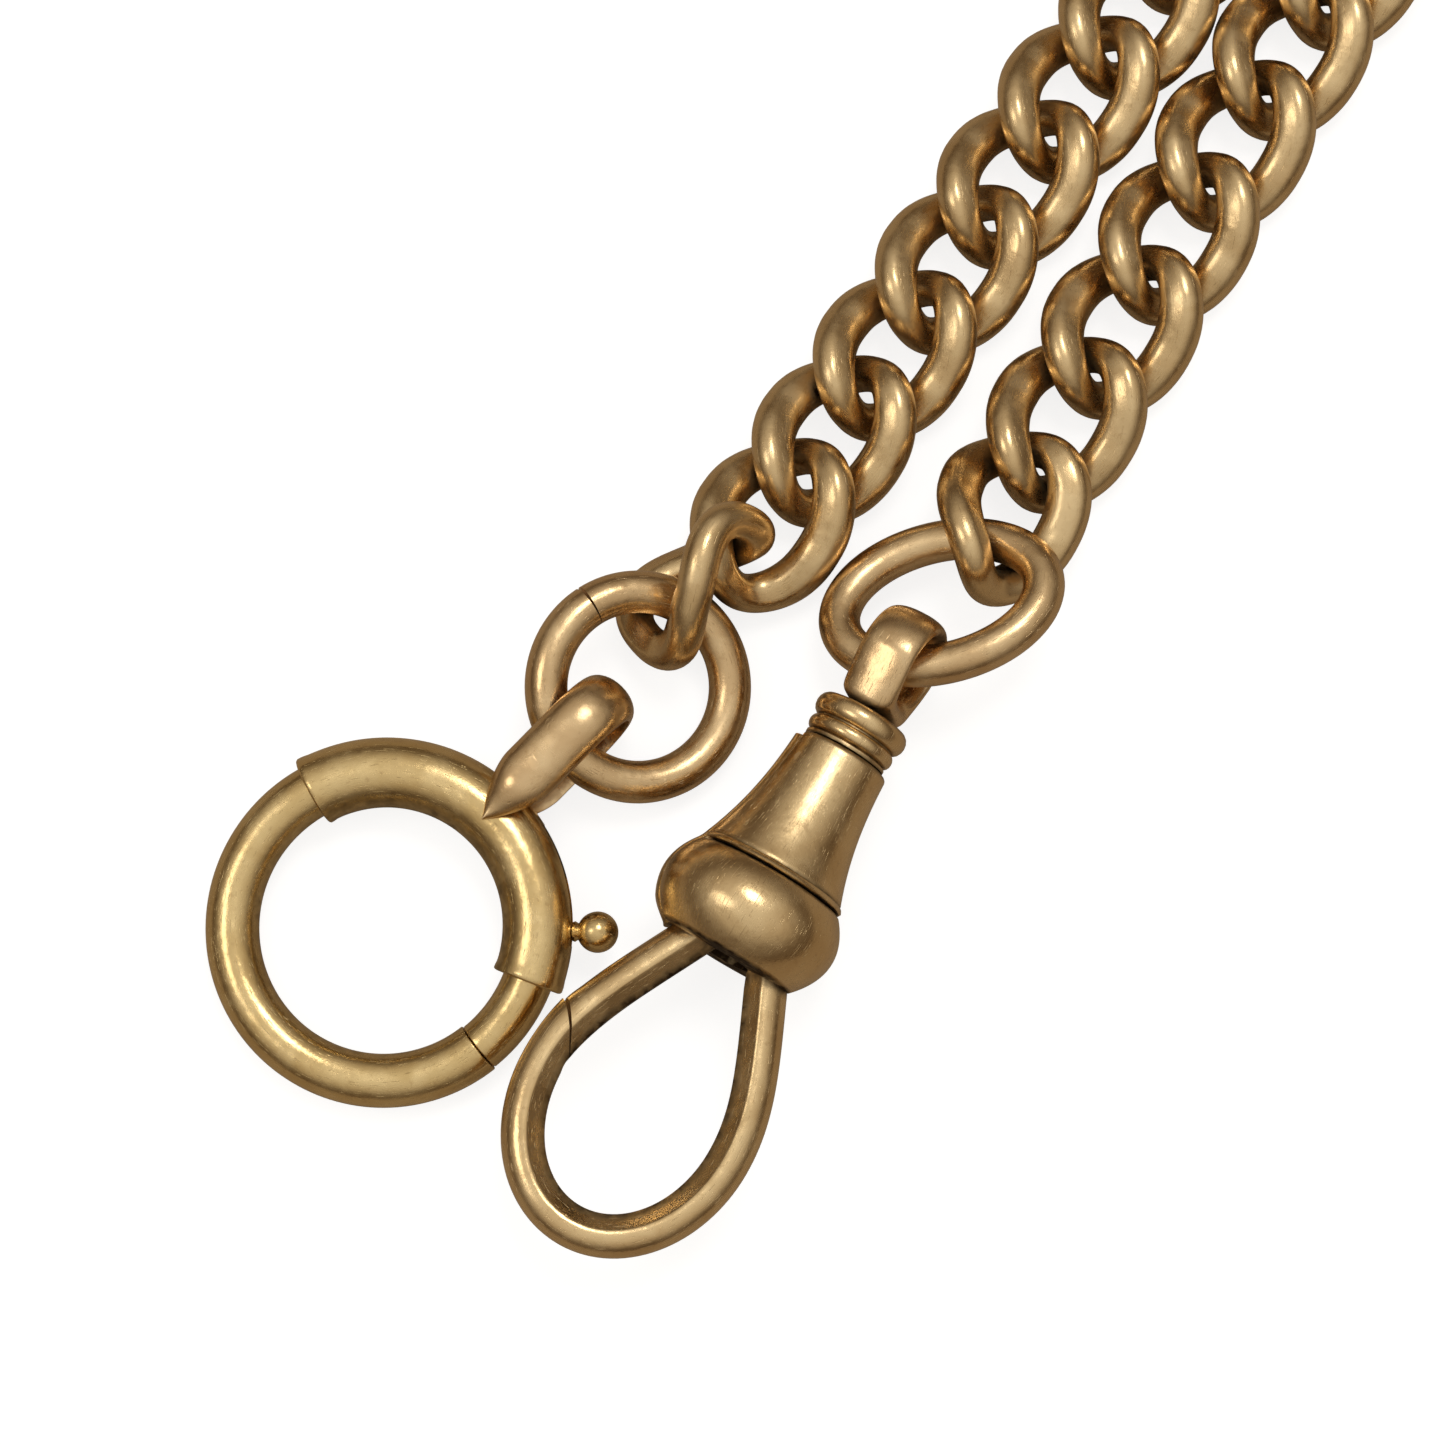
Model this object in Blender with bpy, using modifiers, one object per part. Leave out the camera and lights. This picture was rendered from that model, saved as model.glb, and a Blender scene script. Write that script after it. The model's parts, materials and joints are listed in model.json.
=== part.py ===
"""Gold curb pocket watch chain with a bolt ring at one end and a swivelling dog clip at the other.

The chain lies doubled on a level surface: both clasps at -Y, the loop of the chain at +Y, +Z up.
Every size is in millimetres and is turned into metres where an object is placed or drawn.
"""
import math

import bmesh
import bpy
from mathutils import Matrix, Vector

MM = 0.001
COLLECTION = "pocket_watch_chain"

# Fits and gaps.
SOLDER_GAP = 0.05
RUNNING_GAP = 0.10
SEAM_GAP = 0.10

# Share of an arc's length that its squared-off end step takes.
END_STEP = 0.008

# Curb link: a rounded oval of round wire, twisted along its length.
LINK_LENGTH = 9.50
LINK_WIDTH = 7.36
LINK_WIRE = 1.80
LINK_TWIST = 50.0
LINK_SQUARENESS = 2.3
LINK_POINTS = 20
LINK_PIVOT = 2.75

# How the chain is laid: two strands side by side that open into a round loop.
LEFT_LINKS = 20
RIGHT_LINKS = 18
LEFT_PITCH = 5.40
RIGHT_PITCH = 5.63
LOOP_RADIUS = 18.0
NECK_HALF_GAP = 3.78
STRAND_LEAN = 1.9
LEAN_RUN = 32.5
FIRST_LINK_Y = 9.51
LINK_REST_HEIGHT = 2.12

# Jump ring between the chain and the bolt ring.
RING_1_WIRE = 2.10
RING_1_RADIUS = 4.63
RING_1_SLIT = 0.10

# Oval jump ring between the chain and the dog clip.
RING_2_WIRE = 2.05
RING_2_LENGTH = 12.2
RING_2_WIDTH = 9.0
RING_2_SLIT = 0.10

# Bolt ring, drawn flat about its own centre: +Y runs to the bail and angles count from +X.
BOLT_RING_RADIUS = 7.45
TUBE_WIRE = 2.60
SLEEVE_WALL = 0.35
SLEEVE_OUTSIDE = TUBE_WIRE + 2.0 * (SLEEVE_WALL + RUNNING_GAP)
SLEEVE_START = 23.5
SLEEVE_END = 163.6
TUBE_PLUG = 9.0
MOUTH_ANGLE = -7.0
BOLT_SLACK = 0.15
BOLT_WIRE = TUBE_WIRE - BOLT_SLACK
BOLT_TAIL = 60.0
BOLT_TRAVEL = 29.0
BUTTON_ANGLE = 43.0
BUTTON_BALL = 2.0
BUTTON_STEM = 0.70
BUTTON_RISE = 2.90
BUTTON_REACH = BOLT_RING_RADIUS + BUTTON_RISE
SLOT_WIDTH = 1.0
COIL_RADIUS = 0.95
COIL_WIRE = 0.36
COIL_TURNS = 9
BAIL_WIDTH = 2.90
BAIL_STRAP = 1.05
BAIL_TIP_INSET = 0.40
BAIL_TAPER = 2.40
BAIL_RISE = 8.85
BAIL_TIP = BOLT_RING_RADIUS - BAIL_TIP_INSET
BAIL_SHOULDER = BAIL_TIP + BAIL_TAPER
BAIL_REACH = BOLT_RING_RADIUS + BAIL_RISE

# Swivel: the eye band and the beaded collar, along the clip axis away from the hook.
EYE_STRAP = 0.95
EYE_WIDTH = 2.80
EYE_HALF_HEIGHT = 2.70
EYE_CENTRE = 4.0
EYE_END = 6.65
COLLAR_TOP = 1.0
COLLAR_BOTTOM = 1.2
COLLAR_RADIUS = 2.42
POST_RADIUS = 0.55
HEAD_RADIUS = 0.80

# Clip body (bell) and base (bulb), measured from the collar's middle towards the hook.
BODY_TOP = 1.30
BODY_BOTTOM = 8.15
BODY_TOP_RADIUS = 2.42
BODY_BOTTOM_RADIUS = 3.80
BASE_BOTTOM = 12.6
BASE_RADIUS = 4.65
BASE_RIM_RADIUS = 3.50
SHELL_WALL = 0.50

# Hook and spring gate.
HOOK_WIRE = 2.15
HOOK_HALF_WIDTH = 4.98
HOOK_MIDDLE_W = 0.14
HOOK_WIDEST_U = 21.0
HOOK_BOTTOM_U = 27.2
HOOK_ROOT_U = 9.6
HOOK_ROOT_W = 2.10
HOOK_EXIT_W = 2.35
HOOK_SLOPE = 0.46
SEAM_U = 19.4
SEAM_LEAN = 0.95
GATE_WIDTH = 2.30
GATE_STRIP = 0.70
GATE_PROUD = 0.12
GATE_SLOT_FLOOR_W = -0.90
GATE_LUG = 0.45
GATE_GAP = 0.15
GATE_ARM_INSET = 0.35
GATE_TIP_GAP = 0.15
PIN_U = 2.75
PIN_W = -1.55
PIN_RADIUS = 0.32
PIN_HOLE_GAP = 0.03
LEAF_THICKNESS = 0.20
LEAF_WIDTH = 1.4
LEAF_PATH = ((3.4, 1.55), (6.0, 0.9), (8.6, -1.4), (9.6, -3.2))

# Where each laid piece rests: (x, y, z) from the strands' middle line, then turns in degrees.
ODD_LINK_SPOT = (-6.29, 4.94, 3.54)
ODD_LINK_TURN = (78.6, 24.2, 109.9)
LEFT_END_LIFT = (0.02, 0.17, 0.52)
LEFT_END_TURN = (1.1, -1.7, 0.1)
LEFT_NEXT_LIFT = (0.0, 0.0, 0.16)
LEFT_NEXT_TURN = (-0.1, -1.2, 3.3)
RIGHT_END_LIFT = (0.07, 0.04, 0.94)
RIGHT_END_TURN = (7.5, -14.6, 14.9)
RIGHT_NEXT_LIFT = (0.01, 0.0, 0.14)
RIGHT_NEXT_TURN = (1.7, -1.4, 5.5)
RING_1_SPOT = (-5.76, -0.87, 2.88)
RING_1_TILT = (181.3, 19.2)
RING_2_SPOT = (4.40, 10.46, 3.96)
RING_2_TILT = (337.9, 24.6)
RING_2_HEADING = 43.1
BAIL_END_SPOT = (-6.320, -1.426, 3.842)
BOLT_RING_HEADING = -12.0
BOLT_RING_LEAN = 6.1
CLIP_SPOT = (4.45, 2.73, 4.67)
CLIP_HEADING = 272.5
EYE_ROLL = -14.5

GOLD = (0.66, 0.50, 0.28, 1.0)
DARK_GOLD = (0.48, 0.34, 0.18, 1.0)
STEEL = (0.45, 0.43, 0.40, 1.0)


def clear_scene():
    """Remove whatever the file opened with."""
    for obj in list(bpy.data.objects):
        bpy.data.objects.remove(obj, do_unlink=True)


def make_collection(name):
    """Return a new collection linked to the scene."""
    made = bpy.data.collections.new(name)
    bpy.context.scene.collection.children.link(made)
    return made


def make_material(name, colour, roughness):
    """Return a metal with its own Principled shader."""
    made = bpy.data.materials.new(name)
    made.use_nodes = True
    shader = made.node_tree.nodes["Principled BSDF"]
    shader.inputs["Base Color"].default_value = colour
    shader.inputs["Metallic"].default_value = 1.0
    shader.inputs["Roughness"].default_value = roughness
    return made


def turn_matrix(heading, pitch=0.0, roll=0.0):
    """Turn +X to a heading in plan, raise it by a pitch and roll about it, all in degrees."""
    plan = Matrix.Rotation(math.radians(heading), 4, "Z")
    raised = Matrix.Rotation(math.radians(-pitch), 4, "Y")
    rolled = Matrix.Rotation(math.radians(roll), 4, "X")
    return plan @ raised @ rolled


def tilt_matrix(heading, raised_side, angle):
    """Turn +X to a heading in plan, then raise the side of the piece that faces raised_side."""
    side = math.radians(raised_side)
    axis = Vector((math.sin(side), -math.cos(side), 0.0))
    return Matrix.Rotation(math.radians(angle), 4, axis) @ turn_matrix(heading)


def place(obj, parent, spot=(0.0, 0.0, 0.0), turn=None):
    """Hang an object on its parent at a spot in millimetres with a turn matrix."""
    obj.parent = parent
    obj.location = Vector(spot) * MM
    if turn is not None:
        obj.rotation_euler = turn.to_euler()
    return obj


def add_empty(name, parent, spot=(0.0, 0.0, 0.0), turn=None):
    """Add a plain axis that carries pieces."""
    made = bpy.data.objects.new(name, None)
    made.empty_display_size = 0.002
    parts.objects.link(made)
    return place(made, parent, spot, turn)


def add_object(name, data, material, home=None):
    """Add an object that shows the given curve or mesh."""
    made = bpy.data.objects.new(name, data)
    if material is not None and not data.materials:
        data.materials.append(material)
    (home or parts).objects.link(made)
    return made


def add_cutter(name, data):
    """Add an object that only cuts others."""
    made = add_object(name, data, None, cutters)
    made.hide_render = True
    made.display_type = "WIRE"
    return made


def wire_curve(name, points, radius, closed=False, rounding=2):
    """Return a round wire along straight steps between points in millimetres."""
    curve = bpy.data.curves.new(name, "CURVE")
    curve.dimensions = "3D"
    curve.bevel_depth = radius * MM
    curve.bevel_resolution = rounding
    curve.use_fill_caps = not closed
    spline = curve.splines.new("POLY")
    spline.points.add(len(points) - 1)
    for knot, point in zip(spline.points, points):
        knot.co = (point[0] * MM, point[1] * MM, point[2] * MM, 1.0)
    spline.use_cyclic_u = closed
    return curve


def plate_curve(name, outlines, half_depth, edge=0.0):
    """Return a flat plate cut to closed outlines in XY, standing half_depth either side."""
    curve = bpy.data.curves.new(name, "CURVE")
    curve.dimensions = "2D"
    curve.fill_mode = "BOTH"
    curve.extrude = (half_depth - edge) * MM
    curve.bevel_depth = edge * MM
    curve.bevel_resolution = 0
    curve.offset = -edge * MM
    for outline in outlines:
        spline = curve.splines.new("POLY")
        spline.points.add(len(outline) - 1)
        for knot, point in zip(spline.points, outline):
            knot.co = (point[0] * MM, point[1] * MM, 0.0, 1.0)
        spline.use_cyclic_u = True
    return curve


def as_mesh(obj):
    """Swap a curve object for a mesh object with its caps joined on."""
    bpy.context.view_layer.update()
    graph = bpy.context.evaluated_depsgraph_get()
    mesh = bpy.data.meshes.new_from_object(obj.evaluated_get(graph))
    work = bmesh.new()
    work.from_mesh(mesh)
    bmesh.ops.remove_doubles(work, verts=work.verts, dist=1e-7)
    bmesh.ops.recalc_face_normals(work, faces=work.faces)
    work.to_mesh(mesh)
    work.free()
    name, home = obj.name, obj.users_collection[0]
    made = bpy.data.objects.new(name + "_mesh", mesh)
    home.objects.link(made)
    made.parent = obj.parent
    made.location = obj.location
    made.rotation_euler = obj.rotation_euler
    made.hide_render = obj.hide_render
    made.display_type = obj.display_type
    bpy.data.objects.remove(obj, do_unlink=True)
    made.name = name
    return made


def profile_mesh(name, profile, closed):
    """Return edges that follow (along, radius) pairs in the XZ plane, ready to be spun about Z."""
    mesh = bpy.data.meshes.new(name)
    work = bmesh.new()
    knots = [work.verts.new((radius * MM, 0.0, along * MM)) for along, radius in profile]
    for first, second in zip(knots, knots[1:]):
        work.edges.new((first, second))
    if closed:
        work.edges.new((knots[-1], knots[0]))
    work.to_mesh(mesh)
    work.free()
    return mesh


def add_lathed(name, profile, steps, parent, material, closed=False, cutter=False):
    """Spin a profile about the parent's X axis; the profile runs from far to near outside."""
    data = profile_mesh(name, profile, closed)
    made = add_cutter(name, data) if cutter else add_object(name, data, material)
    spin = made.modifiers.new("spin", "SCREW")
    spin.steps = steps
    spin.render_steps = steps
    spin.use_merge_vertices = True
    spin.merge_threshold = 0.00001
    spin.use_smooth_shade = False
    return place(made, parent, turn=Matrix.Rotation(math.radians(90.0), 4, "Y"))


def combine(obj, other, operation):
    """Cut, keep or join with another solid."""
    step = obj.modifiers.new(operation.lower(), "BOOLEAN")
    step.operation = operation
    step.solver = "EXACT"
    step.object = other


def arc_points(radius, start, end, steps):
    """Return points on an arc about the origin, angles in degrees, with square ends."""
    shares = [0.0, END_STEP] + [k / steps for k in range(1, steps)] + [1.0 - END_STEP, 1.0]
    turns = [math.radians(start + (end - start) * share) for share in shares]
    return [(radius * math.cos(a), radius * math.sin(a), 0.0) for a in turns]


def swell(value, power):
    """Return a signed power, which squares up an oval."""
    return math.copysign(abs(value) ** power, value)


def curb_link_points():
    """Return the middle line of one twisted link, with its hinge point at the origin."""
    half_length = (LINK_LENGTH - LINK_WIRE) / 2.0
    half_width = (LINK_WIDTH - LINK_WIRE) / 2.0
    power = 2.0 / LINK_SQUARENESS
    points = []
    for k in range(LINK_POINTS):
        angle = 2.0 * math.pi * (k + 0.5) / LINK_POINTS
        twist = -math.radians(LINK_TWIST) * math.cos(angle)
        side = half_width * swell(math.sin(angle), power)
        along = half_length * swell(math.cos(angle), power)
        points.append((along - LINK_PIVOT, side * math.cos(twist), side * math.sin(twist)))
    return points


def oval_ring_points(length, width, wire, slit, slit_angle, steps):
    """Return the middle line of an oval ring that is open by a narrow slit."""
    half_length = (length - wire) / 2.0
    half_width = (width - wire) / 2.0
    opening = slit / (half_length + half_width)
    start = math.radians(slit_angle) + opening
    span = 2.0 * math.pi - 2.0 * opening
    turns = [start + span * k / steps for k in range(steps + 1)]
    return [(half_length * math.cos(a), half_width * math.sin(a), 0.0) for a in turns]


def half_path(run):
    """Return x, y and heading at a distance from the loop's top, on the right half."""
    sweep = math.acos((NECK_HALF_GAP + LOOP_RADIUS) / (2.0 * LOOP_RADIUS))
    first = LOOP_RADIUS * (math.pi / 2.0 + sweep)
    second = first + LOOP_RADIUS * sweep
    lean_start = LEFT_LINKS * LEFT_PITCH - LEAN_RUN
    if run <= first:
        turned = run / LOOP_RADIUS
        x = LOOP_RADIUS * math.sin(turned)
        y = -LOOP_RADIUS * (1.0 - math.cos(turned))
        return x, y, -turned
    if run <= second:
        left_over = (second - run) / LOOP_RADIUS
        x = NECK_HALF_GAP + LOOP_RADIUS * (1.0 - math.cos(left_over))
        y = LOOP_RADIUS * (math.sin(left_over) - 1.0 - 2.0 * math.sin(sweep))
        return x, y, -math.pi / 2.0 - left_over
    neck_y = -LOOP_RADIUS * (1.0 + 2.0 * math.sin(sweep))
    if run <= lean_start:
        return NECK_HALF_GAP, neck_y - (run - second), -math.pi / 2.0
    lean = math.radians(STRAND_LEAN)
    beyond = run - lean_start
    x = NECK_HALF_GAP + beyond * math.sin(lean)
    y = neck_y - (lean_start - second) - beyond * math.cos(lean)
    return x, y, -math.pi / 2.0 + lean


def add_link(number, centre, turn, parent):
    """Add one link by its centre; its origin lies on the hinge it shares with the next link."""
    made = add_object("link_%02d" % number, link_curve, gold)
    spot = Vector(centre) + turn @ Vector((LINK_PIVOT, 0.0, 0.0))
    return place(made, parent, spot, turn)


def add_strand(parent, side, top_y, pitch, ends):
    """Add the links on one side of the loop's top, side -1 for left and 1 for right."""
    for step, (lift, turn) in enumerate(ends, 1):
        x, y, heading = half_path(step * pitch)
        centre = Vector((side * x, top_y + y, LINK_REST_HEIGHT)) + Vector(lift)
        towards_top = math.degrees(heading) + 180.0 if side > 0 else -math.degrees(heading)
        turns = turn_matrix(towards_top + turn[0], turn[1], turn[2])
        add_link(LEFT_LINKS + 2 + side * step, centre, turns, parent)


def add_chain(parent):
    """Add all the links, numbered from the bolt ring's end."""
    level = ((0.0, 0.0, 0.0), (0.0, 0.0, 0.0))
    left = [level] * (LEFT_LINKS - 2)
    left += [(LEFT_NEXT_LIFT, LEFT_NEXT_TURN), (LEFT_END_LIFT, LEFT_END_TURN)]
    right = [level] * (RIGHT_LINKS - 2)
    right += [(RIGHT_NEXT_LIFT, RIGHT_NEXT_TURN), (RIGHT_END_LIFT, RIGHT_END_TURN)]
    top_y = FIRST_LINK_Y - half_path(LEFT_LINKS * LEFT_PITCH)[1]
    add_link(1, ODD_LINK_SPOT, turn_matrix(*ODD_LINK_TURN), parent)
    add_strand(parent, -1, top_y, LEFT_PITCH, left)
    add_link(LEFT_LINKS + 2, (0.0, top_y, LINK_REST_HEIGHT), turn_matrix(0.0), parent)
    add_strand(parent, 1, top_y, RIGHT_PITCH, right)


def add_jump_ring(name, size, slit, slit_angle, spot, turn, pivot, parent):
    """Add a wire ring hung from an axis at the point where it bears on the chain."""
    length, width, wire = size
    axis = add_empty(name + "_axis", parent, pivot)
    points = oval_ring_points(length, width, wire, slit, slit_angle, 30)
    made = add_object(name, wire_curve(name, points, wire / 2.0, rounding=3), gold)
    return place(made, axis, Vector(spot) - Vector(pivot), turn)


def add_jump_rings(parent):
    """Add the two rings that join the clasps to the chain."""
    ring_1 = Vector(RING_1_SPOT)
    reach = (Vector(ODD_LINK_SPOT) - ring_1).to_2d().normalized() * RING_1_RADIUS
    bearing_1 = ring_1 + Vector((reach.x, reach.y, 0.0))
    outside = 2.0 * RING_1_RADIUS + RING_1_WIRE
    size_1 = (outside, outside, RING_1_WIRE)
    turn_1 = tilt_matrix(0.0, *RING_1_TILT)
    add_jump_ring("jump_ring_1", size_1, RING_1_SLIT, 158.0, ring_1, turn_1, bearing_1, parent)
    ring_2 = Vector(RING_2_SPOT)
    turn_2 = tilt_matrix(RING_2_HEADING, *RING_2_TILT)
    size_2 = (RING_2_LENGTH, RING_2_WIDTH, RING_2_WIRE)
    half_width = (RING_2_WIDTH - RING_2_WIRE) / 2.0
    bearing_2 = ring_2 + turn_2 @ Vector((0.0, half_width, 0.0))
    add_jump_ring("jump_ring_2", size_2, RING_2_SLIT, 200.0, ring_2, turn_2, bearing_2, parent)


def add_bolt_ring(parent):
    """Add the bolt ring: tube, sleeve, bail, bolt, its button and its coil spring."""
    lean = Matrix.Rotation(math.radians(BOLT_RING_LEAN), 4, "X")
    turn = turn_matrix(BOLT_RING_HEADING) @ lean
    centre = Vector(BAIL_END_SPOT) - turn @ Vector((0.0, BAIL_REACH, 0.0))
    reach = centre - Vector(RING_1_SPOT)
    towards = reach.to_2d().normalized() * RING_1_RADIUS
    bearing = Vector(RING_1_SPOT) + Vector((towards.x, towards.y, 0.3))
    axis = add_empty("bolt_ring_axis", parent, bearing)
    ring = add_empty("bolt_ring_centre", axis, centre - bearing, turn)

    plug_end = SLEEVE_END - TUBE_PLUG
    tube_points = arc_points(BOLT_RING_RADIUS, plug_end, 360.0 + MOUTH_ANGLE, 26)
    tube = wire_curve("ring_tube", tube_points, TUBE_WIRE / 2.0, rounding=4)
    place(add_object("ring_tube", tube, gold), ring)

    add_sleeve(ring)
    add_bail(ring)

    tip = MOUTH_ANGLE + math.degrees(SEAM_GAP / BOLT_RING_RADIUS)
    bolt_points = arc_points(BOLT_RING_RADIUS, tip, BOLT_TAIL, 9)
    bolt = wire_curve("bolt", bolt_points, BOLT_WIRE / 2.0, rounding=4)
    place(add_object("bolt", bolt, gold), ring)

    add_button(ring)

    coil_start = BOLT_TAIL + 3.0
    coil_end = plug_end - 3.0
    steps = COIL_TURNS * 9
    coil_points = []
    for k in range(steps + 1):
        along = math.radians(coil_start + (coil_end - coil_start) * k / steps)
        round_turn = 2.0 * math.pi * COIL_TURNS * k / steps
        radius = BOLT_RING_RADIUS + COIL_RADIUS * math.cos(round_turn)
        height = COIL_RADIUS * math.sin(round_turn)
        coil_points.append((radius * math.cos(along), radius * math.sin(along), height))
    coil = wire_curve("bolt_spring", coil_points, COIL_WIRE / 2.0, rounding=1)
    place(add_object("bolt_spring", coil, steel), ring)


def add_sleeve(ring):
    """Add the hollow sleeve with the slot that its button slides in."""
    outside = arc_points(BOLT_RING_RADIUS, SLEEVE_START, SLEEVE_END, 16)
    sleeve_wire = wire_curve("ring_sleeve", outside, SLEEVE_OUTSIDE / 2.0, rounding=4)
    sleeve = place(add_object("ring_sleeve", sleeve_wire, gold), ring)
    sleeve = as_mesh(sleeve)
    inside = arc_points(BOLT_RING_RADIUS, SLEEVE_START - 5.0, SLEEVE_END + 5.0, 18)
    bore_wire = wire_curve("sleeve_bore", inside, SLEEVE_OUTSIDE / 2.0 - SLEEVE_WALL, rounding=4)
    bore = as_mesh(place(add_cutter("sleeve_bore", bore_wire), ring))
    slot_start = BUTTON_ANGLE - 4.5
    slot_end = BUTTON_ANGLE + BOLT_TRAVEL + 5.0
    slot_radius = BOLT_RING_RADIUS + SLEEVE_OUTSIDE / 2.0 - SLEEVE_WALL
    slot_points = arc_points(slot_radius, slot_start, slot_end, 8)
    slot_wire = wire_curve("sleeve_slot", slot_points, SLOT_WIDTH / 2.0, rounding=2)
    slot = as_mesh(place(add_cutter("sleeve_slot", slot_wire), ring))
    combine(sleeve, bore, "DIFFERENCE")
    combine(sleeve, slot, "DIFFERENCE")


def add_bail(ring):
    """Add the U-shaped strap over the sleeve; its feet narrow to points on the sleeve."""
    inside = SLEEVE_OUTSIDE / 2.0 + SOLDER_GAP
    outside = inside + BAIL_STRAP
    bend = BAIL_REACH - outside
    far = BAIL_TIP - 0.5
    steps = 8
    outer, inner = [(far, -outside)], [(far, -inside)]
    for k in range(steps + 1):
        angle = math.radians(-90.0 + 180.0 * k / steps)
        outer.append((bend + outside * math.cos(angle), outside * math.sin(angle)))
        inner.append((bend + inside * math.cos(angle), inside * math.sin(angle)))
    outer.append((far, outside))
    inner.append((far, inside))
    outline = outer + inner[::-1]
    strap = plate_curve("ring_bail", [outline], BAIL_WIDTH / 2.0, 0.15)
    stand = Matrix(((0, 0, 1, 0), (1, 0, 0, 0), (0, 1, 0, 0), (0, 0, 0, 1)))
    bail = as_mesh(place(add_object("ring_bail", strap, gold), ring, turn=stand))
    half = BAIL_WIDTH / 2.0 + 0.5
    tip_drop = (BAIL_SHOULDER - BAIL_TIP) * half / (BAIL_WIDTH / 2.0)
    plan = [(-half, BAIL_TIP + tip_drop), (0.0, BAIL_TIP), (half, BAIL_TIP + tip_drop)]
    plan += [(half, BAIL_REACH + 1.0), (-half, BAIL_REACH + 1.0)]
    shape = plate_curve("bail_plan", [plan], outside + 1.0)
    plan_solid = as_mesh(place(add_cutter("bail_plan", shape), ring))
    combine(bail, plan_solid, "INTERSECT")


def add_button(ring):
    """Add the stem and ball that pull the bolt back."""
    base = BOLT_RING_RADIUS + BOLT_WIRE / 2.0 + SOLDER_GAP
    ball = BUTTON_BALL / 2.0
    stem = BUTTON_STEM / 2.0
    meet = math.asin(stem / ball)
    profile = [(BUTTON_REACH + ball, 0.0)]
    for k in range(1, 8):
        angle = (math.pi - meet) * k / 7.0
        profile.append((BUTTON_REACH + ball * math.cos(angle), ball * math.sin(angle)))
    profile += [(base, stem), (base, 0.0)]
    out = add_empty("button_axis", ring, turn=turn_matrix(BUTTON_ANGLE))
    add_lathed("thumb_button", profile, 12, out, gold)


def body_radius(u):
    """Return the outside radius of the bell at a distance from the collar."""
    share = max(0.0, min(1.0, (u - BODY_TOP) / (BODY_BOTTOM - BODY_TOP)))
    flare = 0.25 * share + 0.75 * share ** 2.4
    return BODY_TOP_RADIUS + (BODY_BOTTOM_RADIUS - BODY_TOP_RADIUS) * flare


def base_radius(u):
    """Return the outside radius of the bulb at a distance from the collar."""
    top = BODY_BOTTOM + SEAM_GAP
    widest = top + 0.46 * (BASE_BOTTOM - top)
    if u < widest:
        share = (widest - u) / (widest - top)
        return BASE_RADIUS - (BASE_RADIUS - BODY_BOTTOM_RADIUS) * share ** 2
    share = (u - widest) / (BASE_BOTTOM - widest)
    return BASE_RADIUS - (BASE_RADIUS - BASE_RIM_RADIUS) * share ** 2


def add_swivel(clip):
    """Add the eye and the collar that turn on the clip's axis."""
    eye_turn = Matrix.Rotation(math.radians(180.0), 4, "Z")
    eye_turn = eye_turn @ Matrix.Rotation(math.radians(90.0 + EYE_ROLL), 4, "X")
    foot = COLLAR_TOP + SOLDER_GAP
    outer = [(foot, -1.8), (2.5, -2.4)]
    hole = []
    steps = 10
    rise = EYE_END - EYE_CENTRE
    for k in range(steps + 1):
        angle = math.radians(-90.0 + 180.0 * k / steps)
        outer.append((EYE_CENTRE + rise * math.cos(angle), EYE_HALF_HEIGHT * math.sin(angle)))
    outer += [(2.5, 2.4), (foot, 1.8)]
    for k in range(16):
        angle = math.radians(360.0 * k / 16)
        along = (rise - EYE_STRAP) * math.cos(angle)
        up = (EYE_HALF_HEIGHT - EYE_STRAP) * math.sin(angle)
        hole.append((EYE_CENTRE + along, up))
    eye = plate_curve("swivel_eye", [outer, hole], EYE_WIDTH / 2.0, 0.2)
    place(add_object("swivel_eye", eye, gold), clip, turn=eye_turn)

    end = COLLAR_BOTTOM
    big = COLLAR_RADIUS
    head_start = BODY_TOP + SHELL_WALL + RUNNING_GAP
    profile = [(head_start + 0.5, 0.0), (head_start + 0.5, 0.5), (head_start + 0.2, HEAD_RADIUS)]
    profile += [(head_start, HEAD_RADIUS), (head_start, POST_RADIUS), (end, POST_RADIUS)]
    profile += [(end, big - 0.5), (0.85, big - 0.15), (0.5, big - 0.1), (0.2, big - 0.3)]
    profile += [(0.05, big - 0.55), (-0.1, big - 0.25), (-0.4, big), (-0.75, big - 0.05)]
    profile += [(-COLLAR_TOP, big - 0.45), (-COLLAR_TOP, 0.0)]
    add_lathed("swivel_collar", profile, 20, clip, gold)


def slot_plan(half_width):
    """Return the outline, seen from above, of the side of the clip that the gate lies in."""
    near = BODY_TOP - 1.0
    far = BASE_BOTTOM + 1.0
    return [(near, -half_width), (far, -half_width), (far, half_width), (near, half_width)]


def cut_hook_seat(bulb, clip):
    """Notch the bulb's rim where the hook's root is let into it."""
    root = [(HOOK_ROOT_U, HOOK_ROOT_W, 0.0), (BASE_BOTTOM, HOOK_EXIT_W, 0.0)]
    root.append((2.0 * BASE_BOTTOM - HOOK_ROOT_U, 2.0 * HOOK_EXIT_W - HOOK_ROOT_W, 0.0))
    seat = wire_curve("hook_seat", root, HOOK_WIRE / 2.0 + SEAM_GAP, rounding=4)
    seat = as_mesh(place(add_cutter("hook_seat", seat), clip))
    combine(bulb, seat, "DIFFERENCE")


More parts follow.
